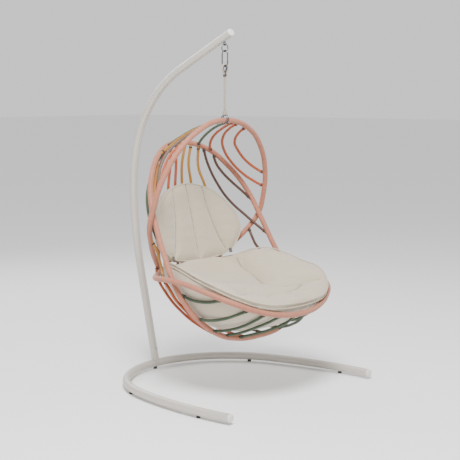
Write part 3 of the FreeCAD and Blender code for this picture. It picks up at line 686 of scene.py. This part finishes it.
# ---------------------------------------------------------------- the suspension
@dataclass
class Suspension:
    """The ring, the carabiner, the rope with its eye, and the knot."""

    rope_radius: float = 0.0072
    strands: int = 3
    lay: float = 0.045
    eye_strand: float = 0.005

    def build(self) -> None:
        """Dresses the links and builds the rope's pieces."""
        for node in ("suspension_ring", "carabiner_body", "carabiner_gate", "gate_pin", "rope_thimble"):
            dress_node(node, DARK_STEEL)
        self.build_rope()
        self.build_eye()
        self.build_coils("rope_whipping_cord", "rope_whipping", Body.HANGER, 0.0022, BINDING_CORD)
        self.build_knot()

    def axis(self, height: float) -> Vector:
        """The point of the hanging line at a height in metres."""
        return Vector((0.0, HANG_Y * MM, height))

    def build_rope(self) -> None:
        """Lays the rope's strands round its route."""
        low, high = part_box("rope")
        route = [self.axis(high.z), self.axis(high.z - 0.05), self.axis(low.z + 0.05), self.axis(low.z)]
        curve = bpy.data.curves.new("rope_route", "CURVE")
        curve.dimensions = "3D"
        spline = curve.splines.new("NURBS")
        spline.points.add(len(route) - 1)
        for point, place in zip(spline.points, route):
            point.co = (*place, 1.0)
        spline.order_u = 3
        spline.use_endpoint_u = True
        holder = bpy.data.objects.new("rope_route", curve)
        mesh = bpy.data.meshes.new_from_object(holder)
        path = [vert.co.copy() for vert in mesh.vertices]
        bpy.data.objects.remove(holder)
        bpy.data.curves.remove(curve)
        bpy.data.meshes.remove(mesh)
        even = smooth_line(path[:: max(1, len(path) // 12)] + [path[-1]], 0.0025)
        strand = self.rope_radius * 0.54
        bm = bmesh.new()
        for number in range(self.strands):
            line = []
            for point in even:
                turn = 2 * math.pi * (number / self.strands + point.z / self.lay)
                line.append(point + Vector((math.cos(turn), math.sin(turn), 0)) * (self.rope_radius - strand))
            sweep(bm, line, strand, 14)
        piece = finish_piece(bm, "laid_rope", Body.HANGER, [ROPE_FIBRE], ("rope",))

    def build_eye(self) -> None:
        """Takes the rope round its thimble as a loop."""
        low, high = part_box("rope_eye")
        middle = (low.x + high.x) / 2
        reach = (high.x - low.x) / 2 - self.eye_strand
        top = high.z - self.eye_strand
        centre = top - reach
        y = HANG_Y * MM
        half = [
            Vector((reach * math.sin(turn), y, centre + reach * math.cos(turn)))
            for turn in (math.radians(step) for step in range(0, 115, 16))
        ]
        foot = [Vector((0.0105, y, low.z + 0.018)), Vector((0.0056, y, low.z + 0.0055))]
        right = half + foot
        left = [Vector((2 * middle - point.x, point.y, point.z)) for point in reversed(right[1:])]
        bm = bmesh.new()
        line = smooth_line(left + right, 0.0025)
        sweep(bm, line, self.eye_strand, 16)
        finish_piece(bm, "rope_loop", Body.HANGER, [ROPE_FIBRE], ("rope_eye",))

    def build_coils(self, name: str, node: str, body: Body, cord: float, finish: Finish) -> None:
        """Winds a cord in level turns over a node's height.

        Args:
            name: the piece's name.
            node: the node that the turns stand for.
            body: the body it rides on.
            cord: the cord's radius.
            finish: the cord's finish.
        """
        low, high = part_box(node)
        centre = (low + high) / 2
        turns = max(3, round((high.z - low.z) / (1.9 * cord)))
        bm = bmesh.new()
        line = []
        steps = 22
        for step in range(turns * steps + 1):
            turn = 2 * math.pi * step / steps
            share = step / (turns * steps)
            reach = (high.x - low.x) / 2 - cord
            height = low.z + cord + (high.z - low.z - 2 * cord) * share
            line.append(Vector((reach * math.cos(turn), centre.y + reach * math.sin(turn), height)))
        sweep(bm, line, cord, 8)
        core = self.axis(low.z + cord), self.axis(high.z - cord)
        sweep(bm, smooth_line(list(core), 0.004), (high.x - low.x) / 2 - 1.4 * cord, 20)
        finish_piece(bm, name, body, [finish], (node,))

    def build_knot(self) -> None:
        """Winds the seizing that closes the rope on the hoop rings, fuller in the middle."""
        low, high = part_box("rope_knot")
        cord = 0.0030
        turns = 6
        steps = 28
        full = (high.x - low.x) / 2 - cord
        line = []
        for step in range(turns * steps + 1):
            share = step / (turns * steps)
            turn = 2 * math.pi * share * turns
            reach = full * (0.66 + 0.34 * math.sin(math.pi * (0.12 + 0.76 * share)))
            height = low.z + cord + (high.z - low.z - 2 * cord) * share
            line.append(Vector((reach * math.cos(turn), HANG_Y * MM + reach * math.sin(turn), height)))
        bm = bmesh.new()
        sweep(bm, line, cord, 10)
        core = [self.axis(low.z + cord), self.axis(high.z - 0.4 * cord)]
        sweep(bm, smooth_line(core, 0.004), full * 0.78, 24)
        finish_piece(bm, "rope_seizing", Body.CHAIR, [ROPE_FIBRE], ("rope_knot",))


# ---------------------------------------------------------------- the cocoon
@dataclass
class Hoop:
    """A hoop's left half, in millimetres from the hanging line, and the nodes it stands for."""

    name: str
    half: list[Point]

    def line(self) -> list[Vector]:
        """The whole hoop's centre line."""
        left = [hang(*point) for point in self.half]
        right = [hang(*point, side=-1) for point in reversed(self.half[1:-1])]
        return smooth_line(left + right, 0.008, closed=True)


@dataclass
class Rib:
    """A rib of one side, or a group of them that share a node."""

    name: str
    rods: list[list[Point]]
    colours: tuple[str, str]


@dataclass
class Cocoon:
    """The hoops, the ribs between them and their bindings."""

    hoop_radius: float = 0.016
    rib_radius: float = 0.0086
    hoops: list[Hoop] = field(default_factory=lambda: [
        Hoop("front_hoop", [
            (0, -1, 1606), (75, -1, 1603), (225, 1, 1554), (365, 26, 1447), (465, 65, 1283), (501, 110, 1115),
            (499, 145, 1005), (443, 192, 905), (330, 268, 781), (215, 323, 690), (95, 346, 640), (0, 346, 636),
        ]),
        Hoop("rear_hoop", [
            (0, 370, 1465), (75, 364, 1461), (220, 326, 1414), (345, 270, 1307), (440, 192, 1152), (476, 110, 985),
            (496, 22, 815), (508, -58, 683), (494, -122, 580), (432, -182, 475), (325, -238, 388),
            (200, -260, 351), (75, -266, 337), (0, -266, 337),
        ]),
        Hoop("seat_rim", [
            (0, -585, 511), (75, -580, 511), (200, -560, 527), (330, -517, 560), (437, -449, 607),
            (505, -310, 660), (537, -150, 702), (544, -30, 711), (517, 75, 706), (440, 157, 700), (320, 237, 697),
            (195, 284, 693), (75, 303, 690), (0, 303, 690),
        ]),
    ])
    ribs: list[Rib] = field(default_factory=lambda: [
        Rib("crown_rib_short", [[
            (199, 6, 1560), (213, 75, 1522), (240, 127, 1470), (306, 156, 1412), (370, 145, 1345), (430, 110, 1292),
            (466, 76, 1264),
        ]], ("rust", "rust")),
        Rib("crown_rib_middle", [[
            (126, 6, 1586), (140, 80, 1556), (182, 173, 1496), (248, 227, 1425), (318, 225, 1339), (385, 177, 1257),
            (440, 133, 1210), (487, 97, 1178),
        ]], ("rust", "umber")),
        Rib("crown_rib_long", [[
            (86, 6, 1594), (115, 113, 1558), (150, 228, 1497), (190, 288, 1440), (231, 314, 1405),
        ]], ("rust", "mustard")),
        Rib("crown_rib_rear", [[(44, 6, 1598), (80, 150, 1560), (112, 275, 1495), (136, 338, 1449)]],
            ("green", "green")),
        Rib("waist_rib", [[
            (250, 313, 1391), (266, 307, 1332), (303, 286, 1270), (352, 250, 1208), (402, 208, 1150),
            (457, 163, 1085),
        ]], ("brown", "mustard")),
        Rib("shoulder_rib", [[
            (178, 332, 1422), (245, 352, 1315), (318, 337, 1190), (368, 290, 1092), (430, 190, 985), (490, 50, 866),
        ]], ("brown", "green")),
        Rib("back_rib_inner", [[
            (42, 361, 1454), (27, 376, 1330), (31, 381, 1200), (34, 380, 1040), (36, 370, 850), (42, 346, 652),
        ]], ("mustard", "rust")),
        Rib("back_rib_middle", [[
            (90, 358, 1448), (82, 371, 1335), (103, 370, 1210), (117, 365, 1050), (120, 356, 860), (118, 339, 655),
        ]], ("mustard", "rust")),
        Rib("back_rib_outer", [[
            (144, 345, 1436), (180, 376, 1300), (217, 358, 1190), (246, 334, 1050), (256, 317, 880), (246, 308, 722),
        ]], ("mustard", "rust")),
        Rib("side_rib_upper", [[
            (443, 180, 906), (438, 146, 850), (448, 116, 795), (482, 62, 745), (530, 12, 720),
        ]], ("brown", "mustard")),
        Rib("side_rib_lower", [[
            (533, -2, 700), (520, -34, 650), (500, -60, 594), (468, -92, 543), (432, -130, 486), (410, -185, 450),
        ]], ("brown", "rust")),
        Rib("keel_ribs", [
            [(288, 291, 740), (300, 283, 685), (290, 225, 583), (262, 110, 466), (235, -20, 390), (215, -150, 352),
             (205, -250, 352)],
            [(100, 342, 634), (106, 297, 552), (103, 200, 461), (95, 60, 390), (88, -80, 352), (83, -180, 339),
             (80, -258, 337)],
        ], ("brown", "rust")),
        Rib("bowl_ribs", [
            [(494, -98, 628), (489, -160, 607), (483, -231, 600), (476, -307, 606), (469, -384, 627)],
            [(444, -178, 490), (429, -250, 488), (408, -335, 503), (386, -425, 537), (368, -492, 567)],
            [(372, -226, 416), (350, -294, 423), (320, -385, 450), (288, -478, 498), (267, -536, 538)],
            [(291, -248, 379), (258, -332, 400), (218, -425, 440), (180, -512, 485), (158, -562, 518)],
            [(190, -264, 353), (152, -340, 376), (107, -430, 408), (66, -525, 458), (42, -575, 508)],
        ], ("green", "green")),
    ])

    def build(self) -> None:
        """Builds the hoops, the ribs and the bindings."""
        for node in ("hoop_sleeves", "crossing_screws"):
            dress_node(node, SLEEVE_METAL)
        dress_node("hoop_rings", DARK_STEEL)
        axes = []
        for hoop in self.hoops:
            line = hoop.line()
            axes += line
            bm = bmesh.new()
            sweep(bm, line, self.hoop_radius, 28, closed=True)
            halves = (hoop.name + "_left", hoop.name + "_right")
            finish_piece(bm, hoop.name, Body.CHAIR, [HOOP_CORD], halves)
        self.hoop_tree = KDTree(len(axes))
        for index, point in enumerate(axes):
            self.hoop_tree.insert(point, index)
        self.hoop_tree.balance()
        for side, sign in (("left", 1), ("right", -1)):
            bindings = bmesh.new()
            for rib in self.ribs:
                self.build_rib(rib, side, sign, bindings)
            finish_piece(bindings, "rib_bindings_" + side, Body.CHAIR, [BINDING_CORD])

    def build_rib(self, rib: Rib, side: str, sign: int, bindings: bmesh.types.BMesh) -> None:
        """Builds one side's rib or group of ribs, and winds its bindings.

        Args:
            rib: the rib's points and colours.
            side: left or right.
            sign: 1 for left and -1 for right.
            bindings: the bmesh that takes the bindings.
        """
        colour = rib.colours[0 if sign > 0 else 1]
        bm = bmesh.new()
        for rod in rib.rods:
            line = smooth_line([hang(*point, side=sign) for point in rod], 0.007)
            sweep(bm, line, self.rib_radius, 18)
            self.bind(bindings, line)
            self.bind(bindings, line[::-1])
        node = "%s_%s" % (rib.name, side)
        finish_piece(bm, "wound_" + node, Body.CHAIR, [rib_finish(colour)], (node,))

    def bind(self, bm: bmesh.types.BMesh, line: list[Vector]) -> None:
        """Winds three turns of cord round a rib, just clear of its hoop.

        Args:
            bm: the bmesh that takes the turns.
            line: the rib's centre line, from this end.
        """
        cord = 0.0016
        start = 0
        while start < len(line) - 2:
            near = self.hoop_tree.find(line[start])[2]
            if near > self.hoop_radius + 0.002:
                break
            start += 1
        frames = frames_along(line, False)
        for turn in range(3):
            frame = frames[start].copy()
            ahead = (line[start + 1] - line[start]).normalized()
            frame.translation = line[start] + ahead * cord * 1.9 * turn
            torus(bm, frame, self.rib_radius + cord * 0.6, cord)


# ---------------------------------------------------------------- cushions
@dataclass
class Cushion:
    """A filled cushion that swells between its seams.

    Attributes:
        node: the frame's node that it stands for.
        voxel: the remesh's size, in metres.
        pressure: the filling's pressure.
        cap: how far the cloth may swell, in metres.
        inset: how much smaller it starts, in metres.
        groove: how deep its seams are drawn in, in metres.
        fill: how full it is, from 0 to 1; not used.
        puff: how high its panels stand over its seams, in metres.
        puff_width: how far from a seam that height is reached, in metres.
        seed: what sets its creases apart from another's.
    """

    node: str
    name: str
    voxel: float
    pressure: float
    cap: float
    inset: float
    groove: float
    fill: float
    puff: float
    puff_width: float = 0.055
    seed: float = 0.0

    def seams(self) -> list[list[Vector]]:
        """The seams' lines on the cushion's surface."""
        raise NotImplementedError

    def edges(self) -> list[list[Vector]]:
        """The closed lines of the cushion's piped edges."""
        raise NotImplementedError

    def source(self) -> bpy.types.Object:
        """Returns a remeshed copy of the node, a little smaller."""
        bm = bmesh.new()
        bm.from_mesh(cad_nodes[self.node].data)
        bmesh.ops.remove_doubles(bm, verts=bm.verts, dist=1e-5)
        mesh = bpy.data.meshes.new(self.name)
        bm.to_mesh(mesh)
        bm.free()
        piece = bpy.data.objects.new(self.name, mesh)
        bpy.context.scene.collection.objects.link(piece)
        remesh = piece.modifiers.new("remesh", "REMESH")
        remesh.mode = "VOXEL"
        remesh.voxel_size = self.voxel
        self.apply(piece)
        self.push(piece, lambda vert: -self.inset)
        return piece

    def apply(self, piece: bpy.types.Object) -> None:
        """Applies a piece's modifiers to its mesh."""
        bpy.context.view_layer.update()
        made = bpy.data.meshes.new_from_object(piece.evaluated_get(bpy.context.evaluated_depsgraph_get()))
        old = piece.data
        piece.modifiers.clear()
        piece.data = made
        bpy.data.meshes.remove(old)

    def push(self, piece: bpy.types.Object, amount) -> None:
        """Moves each vertex along its normal.

        Args:
            piece: the mesh to change.
            amount: a function from a vertex to how far it moves out, in metres.
        """
        moves = [vert.normal * amount(vert) for vert in piece.data.vertices]
        for vert, move in zip(piece.data.vertices, moves):
            vert.co += move
        piece.data.update()

    def swell(self, piece: bpy.types.Object, held: KDTree) -> None:
        """Fills the cushion by cloth simulation, held along its seams and edges.

        Args:
            piece: the cushion's mesh.
            held: the points of the seams and edges.
        """
        rest = [vert.co.copy() for vert in piece.data.vertices]
        pin = piece.vertex_groups.new(name="held")
        for vert in piece.data.vertices:
            near = held.find(vert.co)[2]
            if near < self.voxel * 1.6:
                pin.add([vert.index], 1.0, "REPLACE")
        cloth = piece.modifiers.new("filling", "CLOTH")
        cloth.settings.use_pressure = True
        cloth.settings.uniform_pressure_force = self.pressure
        cloth.settings.vertex_group_mass = "held"
        cloth.settings.quality = 4
        cloth.settings.mass = 0.3
        cloth.settings.effector_weights.gravity = 0.0
        cloth.point_cache.frame_start = 1
        cloth.point_cache.frame_end = 20
        scene = bpy.context.scene
        for frame in range(1, 21):
            scene.frame_set(frame)
        self.apply(piece)
        scene.frame_set(1)
        for vert, start in zip(piece.data.vertices, rest):
            move = vert.co - start
            if move.length > self.cap:
                vert.co = start + move.normalized() * self.cap
        piece.vertex_groups.clear()
        piece.data.update()

    def tree(self, lines: list[list[Vector]]) -> KDTree:
        """Puts the points of some lines into a search tree."""
        points = [point for line in lines for point in line]
        made = KDTree(len(points))
        for index, point in enumerate(points):
            made.insert(point, index)
        made.balance()
        return made

    def shown(self, normal: Vector) -> float:
        """How much of the puff a surface with this normal takes, from 0 to 1."""
        return 1.0

    def draw_in(self, piece: bpy.types.Object, seams: KDTree, held: KDTree) -> None:
        """Raises the panels, draws the seams in and creases the cloth beside them.

        Args:
            piece: the cushion's mesh.
            seams: the points of its seams.
            held: the points of its seams and edges.
        """
        def depth(vert: bpy.types.MeshVertex) -> float:
            gap = seams.find(vert.co)[2]
            free = min(held.find(vert.co)[2] / self.puff_width, 1.0)
            raised = self.puff * math.sin(free * math.pi / 2) * self.shown(vert.normal)
            channel = self.groove * math.exp(-((gap / 0.006) ** 2))
            pucker = 0.0022 * math.exp(-gap / 0.025) * noise.noise(vert.co * 48.0 + Vector((self.seed, 0, 0)))
            loose = 0.004 * free * noise.noise(vert.co * 7.0 + Vector((0, self.seed, 0)))
            crease = 0.003 * free * noise.noise(
                Vector((vert.co.x * 8.0, vert.co.y * 8.0, vert.co.z * 24.0 + self.seed)))
            return raised + loose + crease + pucker - channel
        self.push(piece, depth)

    def build(self) -> None:
        """Builds the cushion with its seams, piping and stitches."""
        seams = self.seams()
        edges = self.edges()
        self.edge_tree = self.tree(edges)
        piece = self.source()
        self.swell(piece, self.tree(seams + edges))
        smooth = piece.modifiers.new("smooth", "SUBSURF")
        smooth.levels = 1
        smooth.render_levels = 1
        self.apply(piece)
        self.draw_in(piece, self.tree(seams), self.tree(seams + edges))
        for polygon in piece.data.polygons:
            polygon.use_smooth = True
            polygon.material_index = self.patch(polygon)
        settle(piece, Body.CHAIR, [CUSHION_CLOTH, SHADED_UNDER_CLOTH, GUSSET_CLOTH], (self.node,))
        self.build_piping(edges)
        self.build_stitches(piece, seams)

    def patch(self, polygon: bpy.types.MeshPolygon) -> int:
        """Which of the finishes a face takes."""
        return 0

    def build_piping(self, edges: list[list[Vector]]) -> None:
        """Sews a piping cord along the edges."""
        bm = bmesh.new()
        for edge in edges:
            sweep(bm, edge, 0.0034, 10, closed=True)
        finish_piece(bm, self.name + "_piping", Body.CHAIR, [PIPING_CLOTH])

    def build_stitches(self, piece: bpy.types.Object, seams: list[list[Vector]]) -> None:
        """Lays a near-black cord along each seam, painted shade in its groove, with a row of stitches along each
        side of it.

        Args:
            piece: the finished cushion.
            seams: the seams' lines.
        """
        surface = BVHTree.FromPolygons(
            [vert.co for vert in piece.data.vertices], [tuple(face.vertices) for face in piece.data.polygons]
        )
        rows = bmesh.new()
        seam_shade_cords = bmesh.new()
        for seam in seams:
            found = [surface.find_nearest(point) for point in seam]
            # painted shade: a thin dark cord laid just under the surface along the seam
            sweep(seam_shade_cords, [place - normal * 0.0003 for place, normal, _, _ in found], 0.0011, 6)
            for offset in (-0.0065, 0.0065):
                self.stitch_row(rows, surface, seam, offset)
        finish_piece(seam_shade_cords, self.name + "_seams", Body.CHAIR, [SEAM_SHADE])
        finish_piece(rows, self.name + "_stitches", Body.CHAIR, [SEAM_THREAD])

    def stitch_row(self, bm: bmesh.types.BMesh, surface: BVHTree, seam: list[Vector], offset: float) -> None:
        """Sews one row of stitches beside a seam.

        Args:
            bm: the bmesh that takes them.
            surface: the cushion's surface.
            seam: the seam's line.
            offset: how far beside it the row lies.
        """
        for start, end in zip(seam[1:-2:2], seam[2:-1:2]):
            along = (end - start).normalized()
            normal = surface.find_nearest(start)[1]
            aside = along.cross(normal).normalized() * offset
            ends = [surface.find_nearest(point + aside) for point in (start, end)]
            if any(found[0] is None or found[3] > 0.02 for found in ends):
                continue
            first, last = (found[0] + found[1] * 0.0003 for found in ends)
            sweep(bm, [first, (first + last) / 2 + normal * 0.0004, last], 0.0006, 5)


@dataclass
class BackCushion(Cushion):
    """The fan-shaped back cushion, in four panels.

    Attributes:
        radius: the curve of its front, in metres.
        foot: the middle of its front's lower edge.
        lean: how far it leans back, in degrees.
        depth: its thickness.
        half_width: half its width.
        height: its height, along the lean.
        outline: the left half of its outline, as shares of half width and height.
        outer_seam: the left outer seam, as shares too.
    """

    radius: float = 1.3
    foot: Point = (0.0, 0.104, 0.742)
    lean: float = 14.0
    depth: float = 0.045
    half_width: float = 0.376
    height: float = 0.488
    outline: list[tuple[float, float]] = field(default_factory=lambda: [
        (0.0, 1.0), (0.27, 0.968), (0.5, 0.905), (0.67, 0.815), (0.82, 0.70), (0.94, 0.55), (1.0, 0.376),
        (0.975, 0.28), (0.905, 0.2), (0.82, 0.12), (0.68, 0.06), (0.34, 0.015), (0.0, 0.0),
    ])
    outer_seam: list[tuple[float, float]] = field(default_factory=lambda: [
        (0.355, 0.925), (0.39, 0.69), (0.43, 0.52), (0.515, 0.29), (0.635, 0.075),
    ])

    def on_front(self, across: float, up: float, back: float = 0.0) -> Vector:
        """The point of the cushion's front at shares of half width and height, or behind it by some depth."""
        reach = self.radius + back
        x = across * self.half_width
        flat = Vector((x, math.sqrt(reach**2 - x**2) - self.radius, up * self.height))
        return Vector(self.foot) + Matrix.Rotation(-math.radians(self.lean), 3, "X") @ flat

    def seams(self) -> list[list[Vector]]:
        """A seam up the middle and one on each side that fans out below."""
        made = [[self.on_front(0.0, up, self.inset) for up in (0.985, 0.75, 0.5, 0.25, 0.015)]]
        for sign in (1, -1):
            made.append([self.on_front(sign * across, up, self.inset) for across, up in self.outer_seam])
        return [smooth_line(line, 0.0045) for line in made]

    def edges(self) -> list[list[Vector]]:
        """The front's outline and the back's."""
        right = [(-across, up) for across, up in reversed(self.outline[1:-1])]
        made = []
        for back in (0.004, self.depth - 0.004):
            loop = [self.on_front(across * 0.99, 0.006 + up * 0.988, back) for across, up in self.outline + right]
            made.append(smooth_line(loop, 0.006, closed=True))
        return made

    def shown(self, normal: Vector) -> float:
        """The back of the cushion stays flatter than its front."""
        return 1.0 if normal.y < 0 else 0.3

    def patch(self, polygon: bpy.types.MeshPolygon) -> int:
        """The back takes a darker copy of the cloth, painted shade."""
        return 1 if polygon.normal.y > 0.75 else 0


@dataclass
class SeatCushion(Cushion):
    """The deep seat cushion, with side wings and a soft front.

    Attributes:
        rim: its edge's place along the chair, half width and height, in millimetres from the hanging line.
        lip: the height of its edge band.
        lap_from: where the front starts to be drawn out, along the chair in metres.
        lap_share: how far it is drawn out, as a share.
        lap_lift: how far its front edge is lifted onto the rim.
        sewn: its seams on the left, in millimetres across and along.
        roll: the seam behind its front roll.
    """

    rim: list[Point] = field(default_factory=lambda: [
        (134, -547, 568), (266, -520, 583), (388, -440, 632), (458, -330, 690), (480, -210, 736), (476, -90, 775),
        (452, 20, 796), (410, 120, 785), (330, 190, 752), (200, 245, 735),
    ])
    lip: float = 0.026
    lap_from: float = -0.28
    lap_share: float = 0.07
    lap_lift: float = 0.016
    sewn: list[list[tuple[float, float]]] = field(default_factory=lambda: [
        [(305, 165), (272, 100), (258, 50), (240, -16), (192, -116), (132, -206)],
        [(132, -206), (150, -280), (210, -326), (285, -366), (360, -410)],
        [(105, -385), (118, -450), (126, -515)],
    ])
    roll: list[tuple[float, float]] = field(default_factory=lambda: [
        (285, -366), (200, -388), (100, -384), (0, -372), (-100, -384), (-200, -388), (-285, -366),
    ])

    def lap(self, point: Vector) -> Vector:
        """Where a point goes when the front edge is drawn out over the rim."""
        place = point.y / MM - HANG_Y
        sides = sorted(self.rim, key=lambda corner: abs(corner[1] - place))[:2]
        (_, near, low), (_, far, high) = sides
        share = 0.0 if far == near else (place - near) / (far - near)
        edge = (low + (high - low) * min(max(share, 0.0), 1.0)) * MM
        front = min(max((self.lap_from - point.y) / 0.15, 0.0), 1.0)
        upper = min(max((point.z - edge + 0.05) / 0.03, 0.0), 1.0)
        out = Vector((point.x, point.y + 0.2, 0)) * self.lap_share + Vector((0, 0, self.lap_lift))
        return point + out * front * upper

    def source(self) -> bpy.types.Object:
        """Returns the remeshed copy with its front edge drawn out."""
        piece = super().source()
        for vert in piece.data.vertices:
            vert.co = self.lap(vert.co)
        piece.data.update()
        return piece

    def seams(self) -> list[list[Vector]]:
        """The seams of the wings, the front lobes and the middle."""
        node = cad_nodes[self.node].data
        surface = BVHTree.FromPolygons(
            [vert.co for vert in node.vertices], [tuple(face.vertices) for face in node.polygons]
        )

        def drop(x: float, y: float) -> Vector:
            """The point of the seat's top below a place."""
            above = Vector((x, y + HANG_Y, 1000)) * MM
            found = surface.ray_cast(above, Vector((0, 0, -1)))[0]
            return found - Vector((0, 0, self.inset))

        lines = [[drop(sign * x, y) for x, y in points] for points in self.sewn for sign in (1, -1)]
        lines.append([drop(x, y) for x, y in self.roll])
        made = []
        for line in lines:
            flat = smooth_line(line, 0.0045)
            made.append([self.lap(drop(point.x / MM, point.y / MM - HANG_Y)) for point in flat])
        return made

    def edges(self) -> list[list[Vector]]:
        """The upper and lower lines of the edge band."""
        made = []
        for low in (0.004, self.lip - 0.002):
            left = [self.lap(hang(x - 3, y, z) - Vector((0, 0, low))) for x, y, z in self.rim]
            right = [Vector((-point.x, point.y, point.z)) for point in reversed(left)]
            made.append(smooth_line(left + right, 0.006, closed=True))
        return made

    def shown(self, normal: Vector) -> float:
        """The underside stays flatter than the top."""
        return 1.0 if normal.z > 0.2 else 0.5

    def patch(self, polygon: bpy.types.MeshPolygon) -> int:
        """The underside takes a darker copy of the cloth, painted shade, and the edge band a grey one."""
        if abs(polygon.normal.z) < 0.7 and self.edge_tree.find(polygon.center)[2] < 0.015:
            return 2
        return 1 if polygon.normal.z < -0.12 else 0


@dataclass
class CushionTabs:
    """The webbing tabs under the back cushion."""

    def build(self) -> None:
        """Dresses the tabs."""
        dress_node("cushion_tabs", WEBBING)


# ---------------------------------------------------------------- the stage
@dataclass
class Stage:
    """The floor, the lights and the camera."""

    camera_place: Point = (-5.268, -4.633, 1.776)
    aim: Point = (0.0, -0.134, 0.950)
    lens: float = 90.8
    floor_size: float = 60.0

    def build(self) -> None:
        """Sets the stage."""
        self.build_floor()
        self.build_lights()
        self.build_camera()

    def build_floor(self) -> None:
        """Lays a plain pale floor."""
        bm = bmesh.new()
        bmesh.ops.create_grid(bm, x_segments=1, y_segments=1, size=self.floor_size)
        mesh = bpy.data.meshes.new("floor")
        bm.to_mesh(mesh)
        bm.free()
        floor = bpy.data.objects.new("floor", mesh)
        floor.data.materials.append(FloorFinish("floor_plain", (0.88, 0.88, 0.88), 0.9).material())
        bpy.context.scene.collection.objects.link(floor)

    def aimed(self, holder: bpy.types.Object, place: Point, target: Point) -> None:
        """Places an object and turns it towards a target."""
        holder.location = place
        holder.rotation_euler = (Vector(target) - Vector(place)).to_track_quat("-Z", "Y").to_euler()
        bpy.context.scene.collection.objects.link(holder)

    def build_lights(self) -> None:
        """Hangs a soft key, a fill and a back light in a white room."""
        world = bpy.data.worlds.new("room")
        world.use_nodes = True
        world.node_tree.nodes["Background"].inputs["Color"].default_value = (1.0, 1.0, 1.0, 1.0)
        world.node_tree.nodes["Background"].inputs["Strength"].default_value = 0.95
        bpy.context.scene.world = world
        for name, place, size, power in (
            ("key", (-2.6, -2.2, 5.2), 2.0, 560.0),
            ("fill", (4.2, -3.0, 2.6), 3.0, 40.0),
            ("back", (1.5, 4.2, 3.6), 2.6, 110.0),
        ):
            light = bpy.data.lights.new(name, "AREA")
            light.shape = "DISK"
            light.size = size
            light.energy = power
            self.aimed(bpy.data.objects.new(name, light), place, self.aim)

    def build_camera(self) -> None:
        """Sets the camera."""
        camera = bpy.data.cameras.new("camera")
        camera.lens = self.lens
        camera.sensor_width = 36.0
        camera.clip_end = 200.0
        holder = bpy.data.objects.new("camera", camera)
        self.aimed(holder, self.camera_place, self.aim)
        bpy.context.scene.camera = holder


def main() -> None:
    """Builds the looks round the frame, in order."""
    logging.basicConfig(level=logging.INFO, format="%(relativeCreated)d ms: %(message)s")
    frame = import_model()
    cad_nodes.update(frame["nodes"])
    Stage().build()
    Stand().build()
    Suspension().build()
    Cocoon().build()
    BackCushion("back_cushion", "padded_back", 0.006, 4.0, 0.014, 0.006, 0.004, 0.75, 0.014, seed=3.0).build()
    SeatCushion("seat_cushion", "padded_seat", 0.007, 4.0, 0.018, 0.006, 0.004, 0.7, 0.026, 0.09, seed=11.0).build()
    CushionTabs().build()


if __name__ == "__main__":
    main()
